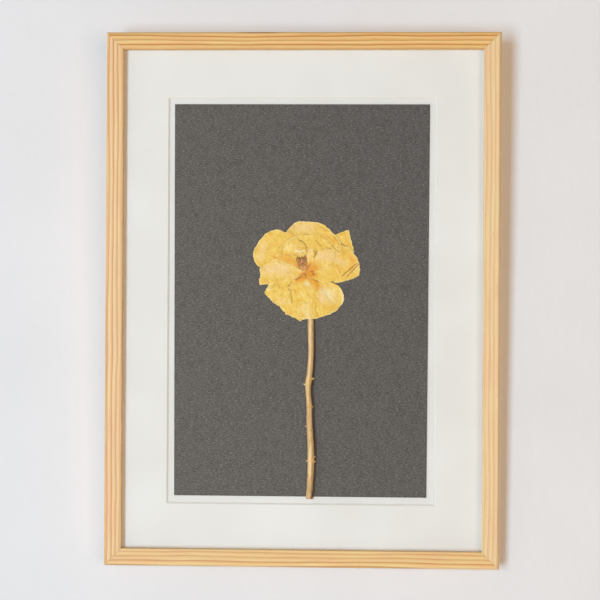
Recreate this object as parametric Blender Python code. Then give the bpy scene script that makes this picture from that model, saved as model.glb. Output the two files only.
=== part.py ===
"""Pressed rose mounted behind glass in a narrow pine wall frame.

Units are metres. +X is to the viewer's right, +Z is up, and the front faces -Y. The origin is the
notch in the middle of the sawtooth hanger, in the plane of the rails' back faces.
"""
import bpy
import numpy as np
from math import cos, pi, radians, sin

GAP = 0.0003  # between pieces that touch

# Pine rails
FRAME_WIDTH = 0.3177
FRAME_HEIGHT = 0.4303
FRAME_DEPTH = 0.020
RAIL_FACE = 0.014
REBATE = 0.005  # how far the lip covers the glass
LIP_DEPTH = 0.0025  # front face to the glass
OUTER_ROUND = 0.0024
INNER_ROUND = 0.0007
BACK_ROUND = 0.0006
HANG_DROP = 0.0075  # top of the frame to the notch it hangs by
CENTRE_Z = HANG_DROP - FRAME_HEIGHT / 2

# Flat pieces in the rebate, listed from the front
PACK_CLEARANCE = 0.001  # to the rebate's wall on each side
GLASS_THICK = 0.0015
SPACER_DEPTH = 0.003
SPACER_WIDE = 0.0034
MAT_THICK = 0.0014
BOARD_THICK = 0.0008
CARD_THICK = 0.0004
BACK_THICK = 0.0025

# Window in the mat, at its front face, and the card's corners, all measured from the frame's centre
WINDOW = (-0.1093, 0.1080, -0.1659, 0.1638)
CARD_CORNERS = ((-0.1031, -0.1592), (0.1009, -0.1592), (0.1024, 0.1580), (-0.1041, 0.1581))

# Steel points that hold the stack
POINT_WIDE = 0.006
POINT_LONG = 0.013
POINT_THICK = 0.0005
POINT_IN_WOOD = 0.0055
POINT_AT_X = 0.078
POINT_AT_Z = 0.108

# Sawtooth hanger
HANGER_LONG = 0.044
HANGER_HIGH = 0.0075
HANGER_THICK = 0.0007
HANGER_RISE = 0.0018  # how far the toothed middle stands off the rail
TAB_LONG = 0.0075
TOOTH_COUNT = 9
TOOTH_HIGH = 0.0014
NAIL_R = 0.0006
NAIL_HEAD_R = 0.0016
NAIL_LONG = 0.009

# The rose. Its points are millimetres from the middle of the flower.
FLOWER_X = 0.0024
FLOWER_Z = CENTRE_Z + 0.0205
PETAL_THICK = 0.0002
PETAL_GAP = 0.00025
MM = 0.001

# base: middle of the petal's foot. foot: its width there. edge: points round the free edge.
# sides: how far the two long sides swell. cells: mesh cells across and along.
# They are laid in this order, the first against the card.
PETALS = {
    "petal_tip_back": dict(base=(15, 15), foot=8, sides=(0, 0), cells=(8, 4), edge=(
        (24, 32), (31, 34.8), (34.8, 35.7), (36, 31), (37.6, 25), (39.4, 18))),
    "petal_right_back": dict(base=(16, 2.5), foot=5, sides=(1, 0), cells=(12, 5), edge=(
        (41, 14), (43.6, 8.5), (44.1, 3), (43, -0.7), (38.5, -3.3), (31.7, -5.6), (24, -7))),
    "petal_lower_left": dict(base=(-5.5, -4), foot=5, sides=(0.5, 1), cells=(18, 6), edge=(
        (-29.8, -8.3), (-31.6, -12.4), (-33, -15), (-30.9, -17.6), (-26.3, -22.4), (-20, -27),
        (-15.5, -32.4), (-12.5, -33.2), (-5, -37.3), (0.5, -36.2))),
    "petal_upper_left": dict(base=(-4.5, 5), foot=4, sides=(1, 0), cells=(16, 6), edge=(
        (-9.4, 30.2), (-15.6, 33.6), (-23.8, 36), (-32.6, 32.2), (-40, 22.6), (-42.3, 15.5),
        (-40, 8.5), (-32.4, 1.5))),
    "petal_top": dict(base=(3, 15), foot=9, sides=(0, 1), cells=(16, 6), edge=(
        (-14.2, 26), (-15.6, 33.6), (-8, 41.8), (0, 42.6), (12.3, 41.2), (20.5, 35.1),
        (28, 26.3), (29.8, 16.8))),
    "petal_lower_middle": dict(base=(1, -3), foot=4, sides=(1, 1), cells=(14, 6), edge=(
        (-12.5, -10), (-11.5, -20), (-9.5, -30), (-5, -35.4), (8, -35.8), (19.5, -32.4),
        (24, -29.8))),
    "petal_lower_right": dict(base=(8.5, -3.5), foot=3, sides=(0, 1.5), cells=(14, 6), edge=(
        (20.4, -5.8), (28, -10.4), (31.5, -19.9), (27.6, -26.9), (24.3, -30), (19.5, -30.5),
        (15, -27), (13, -20.7))),
    "petal_right": dict(base=(3.7, -0.3), foot=4, sides=(1.5, 2.5), cells=(16, 6), edge=(
        (17, 20.8), (26, 20.5), (33, 22.6), (40.5, 15.3), (42.5, 9.7), (38, 4.6), (30.8, -1.3),
        (25.5, -5))),
    "petal_inner_crown": dict(base=(3, 12), foot=8, sides=(1, 1), cells=(12, 5), edge=(
        (-20.9, 22), (-12, 28.7), (-1, 32.8), (10, 31.8), (19, 26.3), (24, 18.8))),
    "petal_inner_left": dict(base=(-1.5, 20.5), foot=6, sides=(0, 0), cells=(12, 4), edge=(
        (-8.6, 15.6), (-16, 16), (-23.3, 14.2), (-22.6, 18.6), (-14.8, 25.6), (-6, 27.8))),
    "petal_inner_broad": dict(base=(5.5, 4.5), foot=3, sides=(0, 0.5), cells=(10, 5), edge=(
        (8.4, 15.3), (11, 19.2), (17.5, 20.4), (23, 17.4), (23.4, 12), (20, 8))),
    "petal_inner_narrow": dict(base=(2.8, 7.5), foot=2, sides=(0.5, 0.5), cells=(6, 4), edge=(
        (0.7, 15.3), (1.5, 19.4), (4.9, 20.9), (7.7, 19.8), (8.6, 16.4))),
    "petal_inner_small": dict(base=(-3.9, 21.5), foot=7, sides=(0, 0), cells=(8, 3), edge=(
        (-9.5, 18), (-8.8, 16.2), (-5, 16), (-1, 15.3), (1.2, 17.5))),
    "petal_left_fan": dict(base=(-2, 0.7), foot=2, sides=(0.4, 1.8), cells=(12, 6), edge=(
        (-24.3, 12.5), (-29.5, 9.5), (-36.5, 4.6), (-36.3, -1), (-37.5, -5), (-37, -8.8))),
}
TUFT = dict(base=(-1.6, 3.4), foot=2.4, sides=(0.3, 0.3), cells=(14, 5), edge=(
    (-6.4, 9), (-5.6, 12), (-4.6, 11.2), (-3.8, 14), (-2.6, 12.6), (-1.6, 15), (-0.6, 13),
    (0.6, 14.4), (0.8, 9.5)))
TUFT_THICK = 0.0011

# Stem, from the cut end up: height, sideways place, full width and full thickness in millimetres,
# from the middle of the flower
STEM = (
    (-181.0, 3.95, 4.3, 3.4),
    (-169.7, 4.65, 4.8, 3.7),
    (-158.4, 5.2, 5.4, 4.0),
    (-141.4, 5.4, 5.3, 4.0),
    (-130.1, 4.85, 5.3, 4.0),
    (-118.8, 4.2, 5.0, 3.9),
    (-106.5, 4.1, 4.7, 3.8),
    (-95.4, 2.95, 4.5, 3.8),
    (-88.1, 3.0, 5.2, 4.0),
    (-80.0, 4.05, 4.9, 3.8),
    (-64.6, 5.0, 4.6, 3.6),
    (-48.0, 4.8, 4.6, 2.9),
    (-36.3, 4.65, 4.6, 1.9),
    (-24.0, 4.0, 4.8, 1.2),
    (-12.0, 2.6, 6.2, 1.0),
    (-4.0, 0.8, 6.6, 0.9),
)
STEM_STATIONS = 38
STEM_SIDES = 12
# Prickles: height, side (-1 left, +1 right), length and foot radius in millimetres
PRICKLES = (
    (-87.6, -1, 2.6, 1.0),
    (-84.3, 1, 1.9, 0.9),
    (-121.5, -1, 1.3, 0.8),
    (-150.3, 1, 1.9, 0.9),
    (-149.6, -1, 1.5, 0.8),
)

# Depths of the front faces in the stack, and the raster that the petals are laid on
FRONT_Y = -FRAME_DEPTH
GLASS_Y = FRONT_Y + LIP_DEPTH + GAP
SPACER_Y = GLASS_Y + GLASS_THICK + GAP
MAT_Y = SPACER_Y + SPACER_DEPTH + GAP
BOARD_Y = MAT_Y + MAT_THICK + GAP
CARD_Y = BOARD_Y - GAP - CARD_THICK
BACK_Y = BOARD_Y + BOARD_THICK + GAP
POINT_Y = BACK_Y + BACK_THICK + GAP
CELL = 0.0005
RASTER_LOW = np.array((-0.048, -0.044))
RASTER_SHAPE = (200, 184)
SOFTEN = 0.0015
SAMPLE_STEPS = 14
SAMPLES = np.array([(a, b, SAMPLE_STEPS - a - b) for a in range(SAMPLE_STEPS + 1)
                    for b in range(SAMPLE_STEPS + 1 - a)]) / SAMPLE_STEPS
SETTLE_ROUNDS = 80
SETTLE_WITHIN = 0.00002

COLOURS = {
    "pine": ((0.79, 0.52, 0.25), 0.5, 0.0),
    "glass": ((0.94, 0.96, 0.95), 0.02, 0.0),
    "mat board": ((0.80, 0.79, 0.76), 0.9, 0.0),
    "white board": ((0.84, 0.84, 0.82), 0.9, 0.0),
    "dark card": ((0.13, 0.12, 0.12), 0.9, 0.0),
    "hardboard": ((0.26, 0.15, 0.08), 0.7, 0.0),
    "steel": ((0.58, 0.57, 0.55), 0.35, 1.0),
    "petal": ((0.86, 0.61, 0.16), 0.6, 0.0),
    "stamens": ((0.35, 0.16, 0.07), 0.8, 0.0),
    "stem": ((0.56, 0.38, 0.17), 0.7, 0.0),
}


def clear_scene():
    for thing in list(bpy.data.objects):
        bpy.data.objects.remove(thing, do_unlink=True)


def material(name):
    found = bpy.data.materials.get(name)
    if found:
        return found
    colour, roughness, metallic = COLOURS[name]
    made = bpy.data.materials.new(name)
    made.use_nodes = True
    shader = made.node_tree.nodes["Principled BSDF"]
    shader.inputs["Base Color"].default_value = (*colour, 1.0)
    shader.inputs["Roughness"].default_value = roughness
    shader.inputs["Metallic"].default_value = metallic
    if name == "glass":
        shader.inputs["Transmission Weight"].default_value = 1.0
    return made


def add_object(name, points, faces, finish, smooth_angle=None):
    mesh = bpy.data.meshes.new(name)
    mesh.from_pydata([tuple(map(float, p)) for p in points], [], faces)
    mesh.materials.append(material(finish))
    if smooth_angle:
        mesh.shade_smooth()
        mesh.set_sharp_from_angle(angle=radians(smooth_angle))
    made = bpy.data.objects.new(name, mesh)
    bpy.context.collection.objects.link(made)
    return made


def prism(outline, start, end):
    """Points and faces of an outline in x and z, run from y = start back to y = end."""
    count = len(outline)
    points = [(x, start, z) for x, z in outline] + [(x, end, z) for x, z in outline]
    faces = [tuple(range(count)), tuple(range(2 * count - 1, count - 1, -1))]
    for i in range(count):
        j = (i + 1) % count
        faces.append((i, i + count, j + count, j))
    return points, faces


def rectangle(low_x, high_x, low_z, high_z):
    """Corners of a rectangle, anticlockwise as the viewer sees it."""
    return [(low_x, low_z), (high_x, low_z), (high_x, high_z), (low_x, high_z)]


def sheet(name, outline, front, thick, finish):
    points, faces = prism(outline, front, front + thick)
    return add_object(name, points, faces, finish)


def pack_rectangle():
    """The rectangle that the glass and the boards fill, a little inside the rebate."""
    inset = RAIL_FACE - REBATE + PACK_CLEARANCE
    half_x = FRAME_WIDTH / 2 - inset
    half_z = FRAME_HEIGHT / 2 - inset
    return -half_x, half_x, CENTRE_Z - half_z, CENTRE_Z + half_z


def arc(centre_u, centre_y, radius, start, end, steps):
    angles = [radians(start + (end - start) * i / steps) for i in range(steps + 1)]
    return [(centre_u + radius * cos(a), centre_y + radius * sin(a)) for a in angles]


def rail_profile():
    """Section of a rail: u runs inwards from its outer edge, y from the back to the front."""
    front = FRONT_Y
    rebate_u = RAIL_FACE - REBATE
    profile = [(rebate_u, 0.0), (BACK_ROUND, 0.0), (0.0, -BACK_ROUND)]
    profile += arc(OUTER_ROUND, front + OUTER_ROUND, OUTER_ROUND, 180, 270, 5)
    inner_u = RAIL_FACE - INNER_ROUND
    profile += arc(inner_u, front + INNER_ROUND, INNER_ROUND, 270, 360, 3)
    profile += [(RAIL_FACE, front + LIP_DEPTH), (rebate_u, front + LIP_DEPTH)]
    return profile


def add_rail(name, half_length, reach, turn):
    """A mitred rail. reach is the distance of its outer edge from the frame's middle."""
    profile = rail_profile()
    count = len(profile)
    mitre_gap = GAP / 2 * 2 ** 0.5
    points = []
    for side in (-1, 1):
        points += [(side * (half_length - u - mitre_gap), y, reach - u) for u, y in profile]
    faces = [tuple(range(count)), tuple(range(2 * count - 1, count - 1, -1))]
    for i in range(count):
        j = (i + 1) % count
        faces.append((i, i + count, j + count, j))
    turned = []
    for x, y, z in points:
        turned.append((x * cos(turn) + z * sin(turn), y, CENTRE_Z - x * sin(turn) + z * cos(turn)))
    return add_object(name, turned, faces, "pine", smooth_angle=40)


def add_rails():
    half_x = FRAME_WIDTH / 2
    half_z = FRAME_HEIGHT / 2
    return {
        "top": add_rail("rail_top", half_x, half_z, 0.0),
        "bottom": add_rail("rail_bottom", half_x, half_z, pi),
        "right": add_rail("rail_right", half_z, half_x, pi / 2),
        "left": add_rail("rail_left", half_z, half_x, -pi / 2),
    }


def cut(target, name, points, faces):
    """Cut a shape out of a piece."""
    cutter = add_object(name, points, faces, "steel")
    cutter.hide_render = True
    cutter.display_type = "WIRE"
    boolean = target.modifiers.new(name, "BOOLEAN")
    boolean.operation = "DIFFERENCE"
    boolean.solver = "EXACT"
    boolean.object = cutter


def add_spacers():
    low_x, high_x, low_z, high_z = pack_rectangle()
    wide = SPACER_WIDE
    strips = {
        "spacer_top": rectangle(low_x, high_x, high_z - wide, high_z),
        "spacer_bottom": rectangle(low_x, high_x, low_z, low_z + wide),
        "spacer_left": rectangle(low_x, low_x + wide, low_z + wide + GAP, high_z - wide - GAP),
        "spacer_right": rectangle(high_x - wide, high_x, low_z + wide + GAP, high_z - wide - GAP),
    }
    for name, outline in strips.items():
        sheet(name, outline, SPACER_Y, SPACER_DEPTH, "pine")


def add_window_mat():
    """A board with a window whose edge is cut at 45 degrees, so the cut shows from the front."""
    outer = rectangle(*pack_rectangle())
    low_x, high_x, low_z, high_z = WINDOW
    front = rectangle(low_x, high_x, CENTRE_Z + low_z, CENTRE_Z + high_z)
    bevel = MAT_THICK * 0.85
    back = rectangle(low_x + bevel, high_x - bevel, CENTRE_Z + low_z + bevel, CENTRE_Z + high_z - bevel)
    rings = [(outer, MAT_Y), (front, MAT_Y), (back, MAT_Y + MAT_THICK), (outer, MAT_Y + MAT_THICK)]
    points = [(x, y, z) for ring, y in rings for x, z in ring]
    faces = []
    for ring in range(4):
        next_ring = (ring + 1) % 4
        for i in range(4):
            j = (i + 1) % 4
            faces.append((4 * ring + i, 4 * ring + j, 4 * next_ring + j, 4 * next_ring + i))
    add_object("window_mat", points, faces, "mat board")


def add_flat_pieces():
    whole = rectangle(*pack_rectangle())
    sheet("glass_pane", whole, GLASS_Y, GLASS_THICK, "glass")
    add_spacers()
    add_window_mat()
    sheet("mount_board", whole, BOARD_Y, BOARD_THICK, "white board")
    card = [(x, CENTRE_Z + z) for x, z in CARD_CORNERS]
    sheet("dark_card", card, CARD_Y, CARD_THICK, "dark card")
    sheet("backboard", whole, BACK_Y, BACK_THICK, "hardboard")


def point_places():
    """For each steel point: its rail, where it enters the rebate's wall, and its direction."""
    wall_x = FRAME_WIDTH / 2 - RAIL_FACE + REBATE
    wall_z = FRAME_HEIGHT / 2 - RAIL_FACE + REBATE
    places = []
    for side in (-1, 1):
        places.append(("top", (side * POINT_AT_X, CENTRE_Z + wall_z), (0, 1)))
        places.append(("bottom", (side * POINT_AT_X, CENTRE_Z - wall_z), (0, -1)))
        places.append(("right", (wall_x, CENTRE_Z + side * POINT_AT_Z), (1, 0)))
        places.append(("left", (-wall_x, CENTRE_Z + side * POINT_AT_Z), (-1, 0)))
    return places


def along(place, direction, forward, sideways):
    """A place moved forward along a direction and sideways to its left."""
    return (
        place[0] + direction[0] * forward - direction[1] * sideways,
        place[1] + direction[1] * forward + direction[0] * sideways,
    )


def add_points(rails):
    half = POINT_WIDE / 2
    loose = half + GAP
    shoulder = POINT_IN_WOOD - half
    for number, (side, place, way) in enumerate(point_places(), 1):
        blade = ((POINT_IN_WOOD - POINT_LONG, -half), (shoulder, -half), (POINT_IN_WOOD, 0.0),
                 (shoulder, half), (POINT_IN_WOOD - POINT_LONG, half))
        outline = [along(place, way, f, s) for f, s in blade]
        sheet(f"retaining_point_{number}", outline, POINT_Y, POINT_THICK, "steel")
        slit = ((-GAP, -loose), (POINT_IN_WOOD + GAP, -loose), (POINT_IN_WOOD + GAP, loose), (-GAP, loose))
        slit_outline = [along(place, way, f, s) for f, s in slit]
        points, faces = prism(slit_outline, POINT_Y - GAP, POINT_Y + POINT_THICK + GAP)
        cut(rails[side], f"slit_{number}", points, faces)


def hanger_rise(x):
    """How far the strip stands off the rail: flat end tabs, short slopes and a raised middle."""
    from_end = HANGER_LONG / 2 - abs(x)
    return HANGER_RISE * min(max((from_end - TAB_LONG) / HANGER_RISE, 0.0), 1.0)


def add_hanger(rails):
    """A strip bent away from the rail, with teeth along its lower edge and a nail in each end."""
    half = HANGER_LONG / 2
    bend = half - TAB_LONG
    toothed = bend - HANGER_RISE
    pitch = 2 * toothed / TOOTH_COUNT
    stations = [(-half, 0), (-bend, 0), (-toothed, 0)]
    for tooth in range(TOOTH_COUNT):
        middle = -toothed + (tooth + 0.5) * pitch
        stations += [(middle, TOOTH_HIGH), (-toothed + (tooth + 1) * pitch, 0)]
    stations += [(bend, 0), (half, 0)]
    bottom = -TOOTH_HIGH
    points = []
    for x, notch in stations:
        back = GAP + hanger_rise(x)
        for y, z in ((back + HANGER_THICK, bottom + notch), (back, bottom + notch),
                     (back, bottom + HANGER_HIGH), (back + HANGER_THICK, bottom + HANGER_HIGH)):
            points.append((x, y, z))
    faces = [(0, 1, 2, 3)]
    last = 4 * (len(stations) - 1)
    faces.append((last + 3, last + 2, last + 1, last))
    for station in range(len(stations) - 1):
        for i in range(4):
            j = (i + 1) % 4
            here = 4 * station
            faces.append((here + j, here + i, here + 4 + i, here + 4 + j))
    hanger = add_object("sawtooth_hanger", points, faces, "steel")
    nail_z = bottom + HANGER_HIGH / 2
    for side, label in ((-1, "left"), (1, "right")):
        nail_x = side * (half - TAB_LONG / 2)
        add_nail(f"hanger_nail_{label}", nail_x, nail_z)
        hole_end = GAP + NAIL_LONG
        hole = turned_solid([(NAIL_R + GAP, -hole_end), (NAIL_R + GAP, 2 * HANGER_THICK)], nail_x, nail_z)
        cut(rails["top"], f"pilot_{label}", *hole)
        cut(hanger, f"tab_hole_{label}", *hole)


def turned_solid(profile, centre_x, centre_z, sides=14):
    """Points and faces of a profile of radius and y turned about a line along Y."""
    points = []
    for radius, y in profile:
        for i in range(sides):
            angle = 2 * pi * i / sides
            points.append((centre_x + radius * cos(angle), y, centre_z + radius * sin(angle)))
    faces = [tuple(range(sides)), tuple(range(len(points) - 1, len(points) - sides - 1, -1))]
    for ring in range(len(profile) - 1):
        for i in range(sides):
            j = (i + 1) % sides
            here = ring * sides
            faces.append((here + i, here + sides + i, here + sides + j, here + j))
    return points, faces


def add_nail(name, x, z):
    """A round-headed nail: a pointed shank in the rail and a domed head on the hanger's tab."""
    tab_back = GAP + HANGER_THICK + GAP
    profile = [(NAIL_R * 0.2, -NAIL_LONG), (NAIL_R, -NAIL_LONG + 0.0015), (NAIL_R, tab_back),
               (NAIL_HEAD_R, tab_back), (NAIL_HEAD_R * 0.9, tab_back + 0.0003),
               (NAIL_HEAD_R * 0.45, tab_back + 0.00055)]
    points, faces = turned_solid(profile, x, z)
    add_object(name, points, faces, "steel", smooth_angle=40)


def smooth_line(knots, count):
    """count + 1 points spaced along a Catmull-Rom curve through the knots."""
    knots = np.array(knots, dtype=float)
    padded = np.vstack((2 * knots[0] - knots[1], knots, 2 * knots[-1] - knots[-2]))
    place = np.linspace(0, len(knots) - 1, count + 1)
    span = np.minimum(place.astype(int), len(knots) - 2)
    t = (place - span)[:, None]
    a, b, c, d = (padded[span + k] for k in range(4))
    return 0.5 * (2 * b + (c - a) * t + (2 * a - 5 * b + 4 * c - d) * t ** 2 + (3 * b - a - 3 * c + d) * t ** 3)


def petal_grid(petal):
    """Points of a petal in x and z: straight ribs from its foot to its free edge, swelled sideways."""
    across, ribs = petal["cells"]
    edge = smooth_line(petal["edge"], across)[:, None, :]
    chord = edge[-1, 0] - edge[0, 0]
    chord = chord / np.linalg.norm(chord)
    u = np.linspace(0, 1, across + 1)[:, None, None]
    v = np.linspace(0, 1, ribs + 1)[None, :, None]
    foot = np.array(petal["base"], dtype=float) + chord * (u - 0.5) * petal["foot"]
    first, second = petal["sides"]
    swell = (second * u - first * (1 - u)) * np.sin(pi * v)
    return (foot * (1 - v) + edge * v + chord * swell) * MM


def grid_triangles(columns, rows):
    """Triangles over a grid of points stored row by row."""
    i, j = np.meshgrid(np.arange(columns - 1), np.arange(rows - 1), indexing="ij")
    here = (i * rows + j).ravel()
    first = np.stack((here, here + rows, here + rows + 1), axis=1)
    second = np.stack((here, here + rows + 1, here + 1), axis=1)
    return np.concatenate((first, second))


def border(columns, rows):
    """Indices round the edge of that grid, in order."""
    down = [i * rows for i in range(columns)]
    far = [(columns - 1) * rows + j for j in range(1, rows)]
    back = [i * rows + rows - 1 for i in range(columns - 2, -1, -1)]
    home = list(range(rows - 2, 0, -1))
    return down + far + back + home


def slide(field, axis, steps):
    """The field moved by some cells, its border repeated."""
    index = np.clip(np.arange(field.shape[axis]) + steps, 0, field.shape[axis] - 1)
    return np.take(field, index, axis=axis)


def spread(field):
    """Each cell takes the highest value next to it."""
    for axis in (0, 1):
        field = np.max([slide(field, axis, s) for s in (-1, 0, 1)], axis=0)
    return field


def soften(field):
    """Each cell takes the mean of those within the softening distance."""
    cells = int(round(SOFTEN / CELL))
    for axis in (0, 1):
        field = np.mean([slide(field, axis, s) for s in range(-cells, cells + 1)], axis=0)
    return field


def to_cells(flat):
    return tuple(np.moveaxis(np.round((flat - RASTER_LOW) / CELL).astype(int), -1, 0))


def settle(flat, triangles, field):
    """Heights at which a faceted sheet clears everything under it, all over every facet.

    It starts on the softened raster. Wherever a facet dips too low, its corners are raised by
    just enough to lift that place, until none does.
    """
    share = SAMPLES / (SAMPLES ** 2).sum(axis=1, keepdims=True)
    places = np.einsum("kw,twx->tkx", SAMPLES, flat[triangles])
    need = spread(field)[to_cells(places)] + PETAL_GAP
    height = soften(field)[to_cells(flat)] + PETAL_GAP
    for _ in range(SETTLE_ROUNDS):
        short = need - np.einsum("kw,tw->tk", SAMPLES, height[triangles])
        if short.max() < SETTLE_WITHIN:
            break
        lift = (np.clip(short, 0, None)[:, :, None] * share).max(axis=1)
        rise = np.zeros(len(height))
        np.maximum.at(rise, triangles, lift)
        height += rise
    return height


def mark(field, flat, heights, triangles):
    """Raise the raster to the height of each triangle."""
    cells = to_cells(np.einsum("kw,twx->tkx", SAMPLES, flat[triangles]))
    np.maximum.at(field, cells, np.einsum("kw,tw->tk", SAMPLES, heights[triangles]))


def lay_piece(name, piece, thick, finish, field):
    """Lay a thin piece over whatever is under it, then add it to the raster."""
    grid = petal_grid(piece)
    columns, rows = grid.shape[:2]
    flat = grid.reshape(-1, 2)
    triangles = grid_triangles(columns, rows)
    height = settle(flat, triangles, field)
    mark(field, flat, height + thick, triangles)
    x = FLOWER_X + flat[:, 0]
    z = FLOWER_Z + flat[:, 1]
    back = np.stack((x, CARD_Y - height, z), axis=1)
    front = np.stack((x, CARD_Y - height - thick, z), axis=1)
    count = len(flat)
    rim = border(columns, rows)
    faces = [tuple(int(k) for k in t) for t in triangles[:, ::-1] + count]
    faces += [tuple(int(k) for k in t) for t in triangles]
    for here, there in zip(rim, rim[1:] + rim[:1]):
        faces.append((here, here + count, there + count))
        faces.append((here, there + count, there))
    made = add_object(name, np.concatenate((back, front)), faces, finish, smooth_angle=50)
    face_outwards(made.data)


def face_outwards(mesh):
    """Turn every face over if the closed mesh came out inside out."""
    volume = 0.0
    mesh.calc_loop_triangles()
    for triangle in mesh.loop_triangles:
        a, b, c = (mesh.vertices[i].co for i in triangle.vertices)
        volume += a.dot(b.cross(c))
    if volume < 0:
        mesh.flip_normals()


def stem_stations():
    """Smooth rows of height, sideways place, width and thickness along the stem, in metres."""
    return smooth_line(STEM, STEM_STATIONS) * MM


def add_stem(field):
    rows = stem_stations()
    points = []
    for height, aside, wide, thick in rows:
        middle = CARD_Y - GAP - thick / 2
        for i in range(STEM_SIDES):
            angle = 2 * pi * i / STEM_SIDES
            points.append((FLOWER_X + aside + wide / 2 * cos(angle), middle + thick / 2 * sin(angle),
                           FLOWER_Z + height))
    sides = STEM_SIDES
    faces = [tuple(range(sides)), tuple(range(len(points) - 1, len(points) - sides - 1, -1))]
    for ring in range(len(rows) - 1):
        for i in range(sides):
            j = (i + 1) % sides
            here = ring * sides
            faces.append((here + i, here + sides + i, here + sides + j, here + j))
    stem = add_object("stem", points, faces, "stem", smooth_angle=50)
    face_outwards(stem.data)
    add_prickles(stem, rows)
    mark_stem(field, rows)


def add_prickles(stem, rows):
    """Short thorns, each a cone that starts inside the stem and leans up, joined to it."""
    points = []
    faces = []
    sides = 6
    for height, side, reach, foot in PRICKLES:
        at = height * MM
        aside = np.interp(at, rows[:, 0], rows[:, 1])
        wide = np.interp(at, rows[:, 0], rows[:, 2])
        thick = np.interp(at, rows[:, 0], rows[:, 3])
        inside = aside + side * wide * 0.25
        outside = aside + side * (wide / 2 + reach * MM)
        level = CARD_Y - GAP - thick / 2
        first = len(points)
        for i in range(sides):
            angle = 2 * pi * i / sides
            points.append((FLOWER_X + inside, level + foot * MM * 0.8 * sin(angle),
                           FLOWER_Z + at + foot * MM * 1.5 * cos(angle)))
        points.append((FLOWER_X + outside, level, FLOWER_Z + at + reach * MM * 0.25))
        ring = list(range(first, first + sides))
        if side > 0:
            ring.reverse()
        faces.append(tuple(reversed(ring)))
        for i in range(sides):
            faces.append((ring[i], ring[(i + 1) % sides], first + sides))
    prickles = add_object("prickle_shapes", points, faces, "stem")
    prickles.hide_render = True
    prickles.display_type = "WIRE"
    union = stem.modifiers.new("prickles", "BOOLEAN")
    union.operation = "UNION"
    union.solver = "EXACT"
    union.object = prickles


def mark_stem(field, rows):
    """Raise the raster to the top of the stem where it runs under the flower."""
    inside = rows[rows[:, 0] > RASTER_LOW[1] + CELL]
    fine = smooth_line(inside, 8 * len(inside))
    for height, aside, wide, thick in fine:
        offsets = np.arange(-wide / 2, wide / 2 + CELL / 2, CELL / 2)
        cells = to_cells(np.stack((aside + offsets, np.full_like(offsets, height)), axis=1))
        np.maximum.at(field, cells, GAP + thick)


def add_rose():
    field = np.full(RASTER_SHAPE, GAP - PETAL_GAP)
    add_stem(field)
    for name, petal in PETALS.items():
        if name == "petal_inner_small":
            lay_piece("stamen_tuft", TUFT, TUFT_THICK, "stamens", field)
        lay_piece(name, petal, PETAL_THICK, "petal", field)
    return field


def main():
    clear_scene()
    rails = add_rails()
    add_flat_pieces()
    add_points(rails)
    add_hanger(rails)
    field = add_rose()
    print(f"flower stands {1000 * field.max():.2f} mm off the card")


main()
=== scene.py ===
import math
from functools import partial

import bpy
import numpy as np
from mathutils import Matrix, Vector


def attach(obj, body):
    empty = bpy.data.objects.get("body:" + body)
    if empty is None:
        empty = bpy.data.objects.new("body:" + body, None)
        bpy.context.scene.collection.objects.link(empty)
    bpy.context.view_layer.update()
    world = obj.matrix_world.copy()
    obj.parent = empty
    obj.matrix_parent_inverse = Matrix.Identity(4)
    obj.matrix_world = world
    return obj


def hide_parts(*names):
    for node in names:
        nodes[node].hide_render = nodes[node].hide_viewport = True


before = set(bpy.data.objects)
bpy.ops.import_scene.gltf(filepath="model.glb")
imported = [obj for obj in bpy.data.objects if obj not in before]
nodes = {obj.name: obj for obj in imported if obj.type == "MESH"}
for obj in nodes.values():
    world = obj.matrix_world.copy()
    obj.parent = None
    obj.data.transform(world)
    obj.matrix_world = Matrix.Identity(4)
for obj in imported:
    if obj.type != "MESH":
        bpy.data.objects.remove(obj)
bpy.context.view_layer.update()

centreZ = -0.20765  # the frame's middle; the origin is the notch it hangs by
mm = 0.001


def toLinear(code):
    # sRGB to linear light: v / 12.92 up to 0.04045, ((v + 0.055) / 1.055) ** 2.4 above it
    values = np.array([int(code[i:i + 2], 16) for i in (1, 3, 5)]) / 255
    linear = np.where(values <= 0.04045, values / 12.92, ((values + 0.055) / 1.055) ** 2.4)
    return (*linear.tolist(), 1)


def setInputs(node, inputs):
    # an input is a value, a hex colour, a socket to link, or a node, which stands for its first live output
    for key, value in inputs.items():
        if isinstance(value, bpy.types.Node):
            value = next(socket for socket in value.outputs if socket.enabled)
        if isinstance(value, bpy.types.NodeSocket):
            node.id_data.links.new(value, node.inputs[key])
        else:
            node.inputs[key].default_value = toLinear(value) if isinstance(value, str) else value


def addNode(tree, kind, values=None):
    # a node; a key in small letters is one of its settings and any other key an input; a Mix mixes colours
    node = tree.nodes.new("ShaderNode" + kind)
    if kind == "Mix":
        node.data_type = "RGBA"
    inputs = {}
    for key, value in (values or {}).items():
        if key == "ramp":
            while len(node.color_ramp.elements) < len(value):
                node.color_ramp.elements.new(1)
            for element, (at, code) in zip(node.color_ramp.elements, value):
                element.position, element.color = at, toLinear(code)
        elif str(key).islower():
            setattr(node, key, value)
        else:
            inputs[key] = value
    setInputs(node, inputs)
    return node


def newMaterial(name, **sockets):
    made = bpy.data.materials.new(name)
    made.use_nodes = True
    shader = made.node_tree.nodes["Principled BSDF"]
    setInputs(shader, {socket.replace("_", " "): value for socket, value in sockets.items()})
    return made, shader, partial(addNode, made.node_tree)


def addObject(name, data):
    made = bpy.data.objects.new(name, data)
    bpy.context.scene.collection.objects.link(made)
    return made


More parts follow.
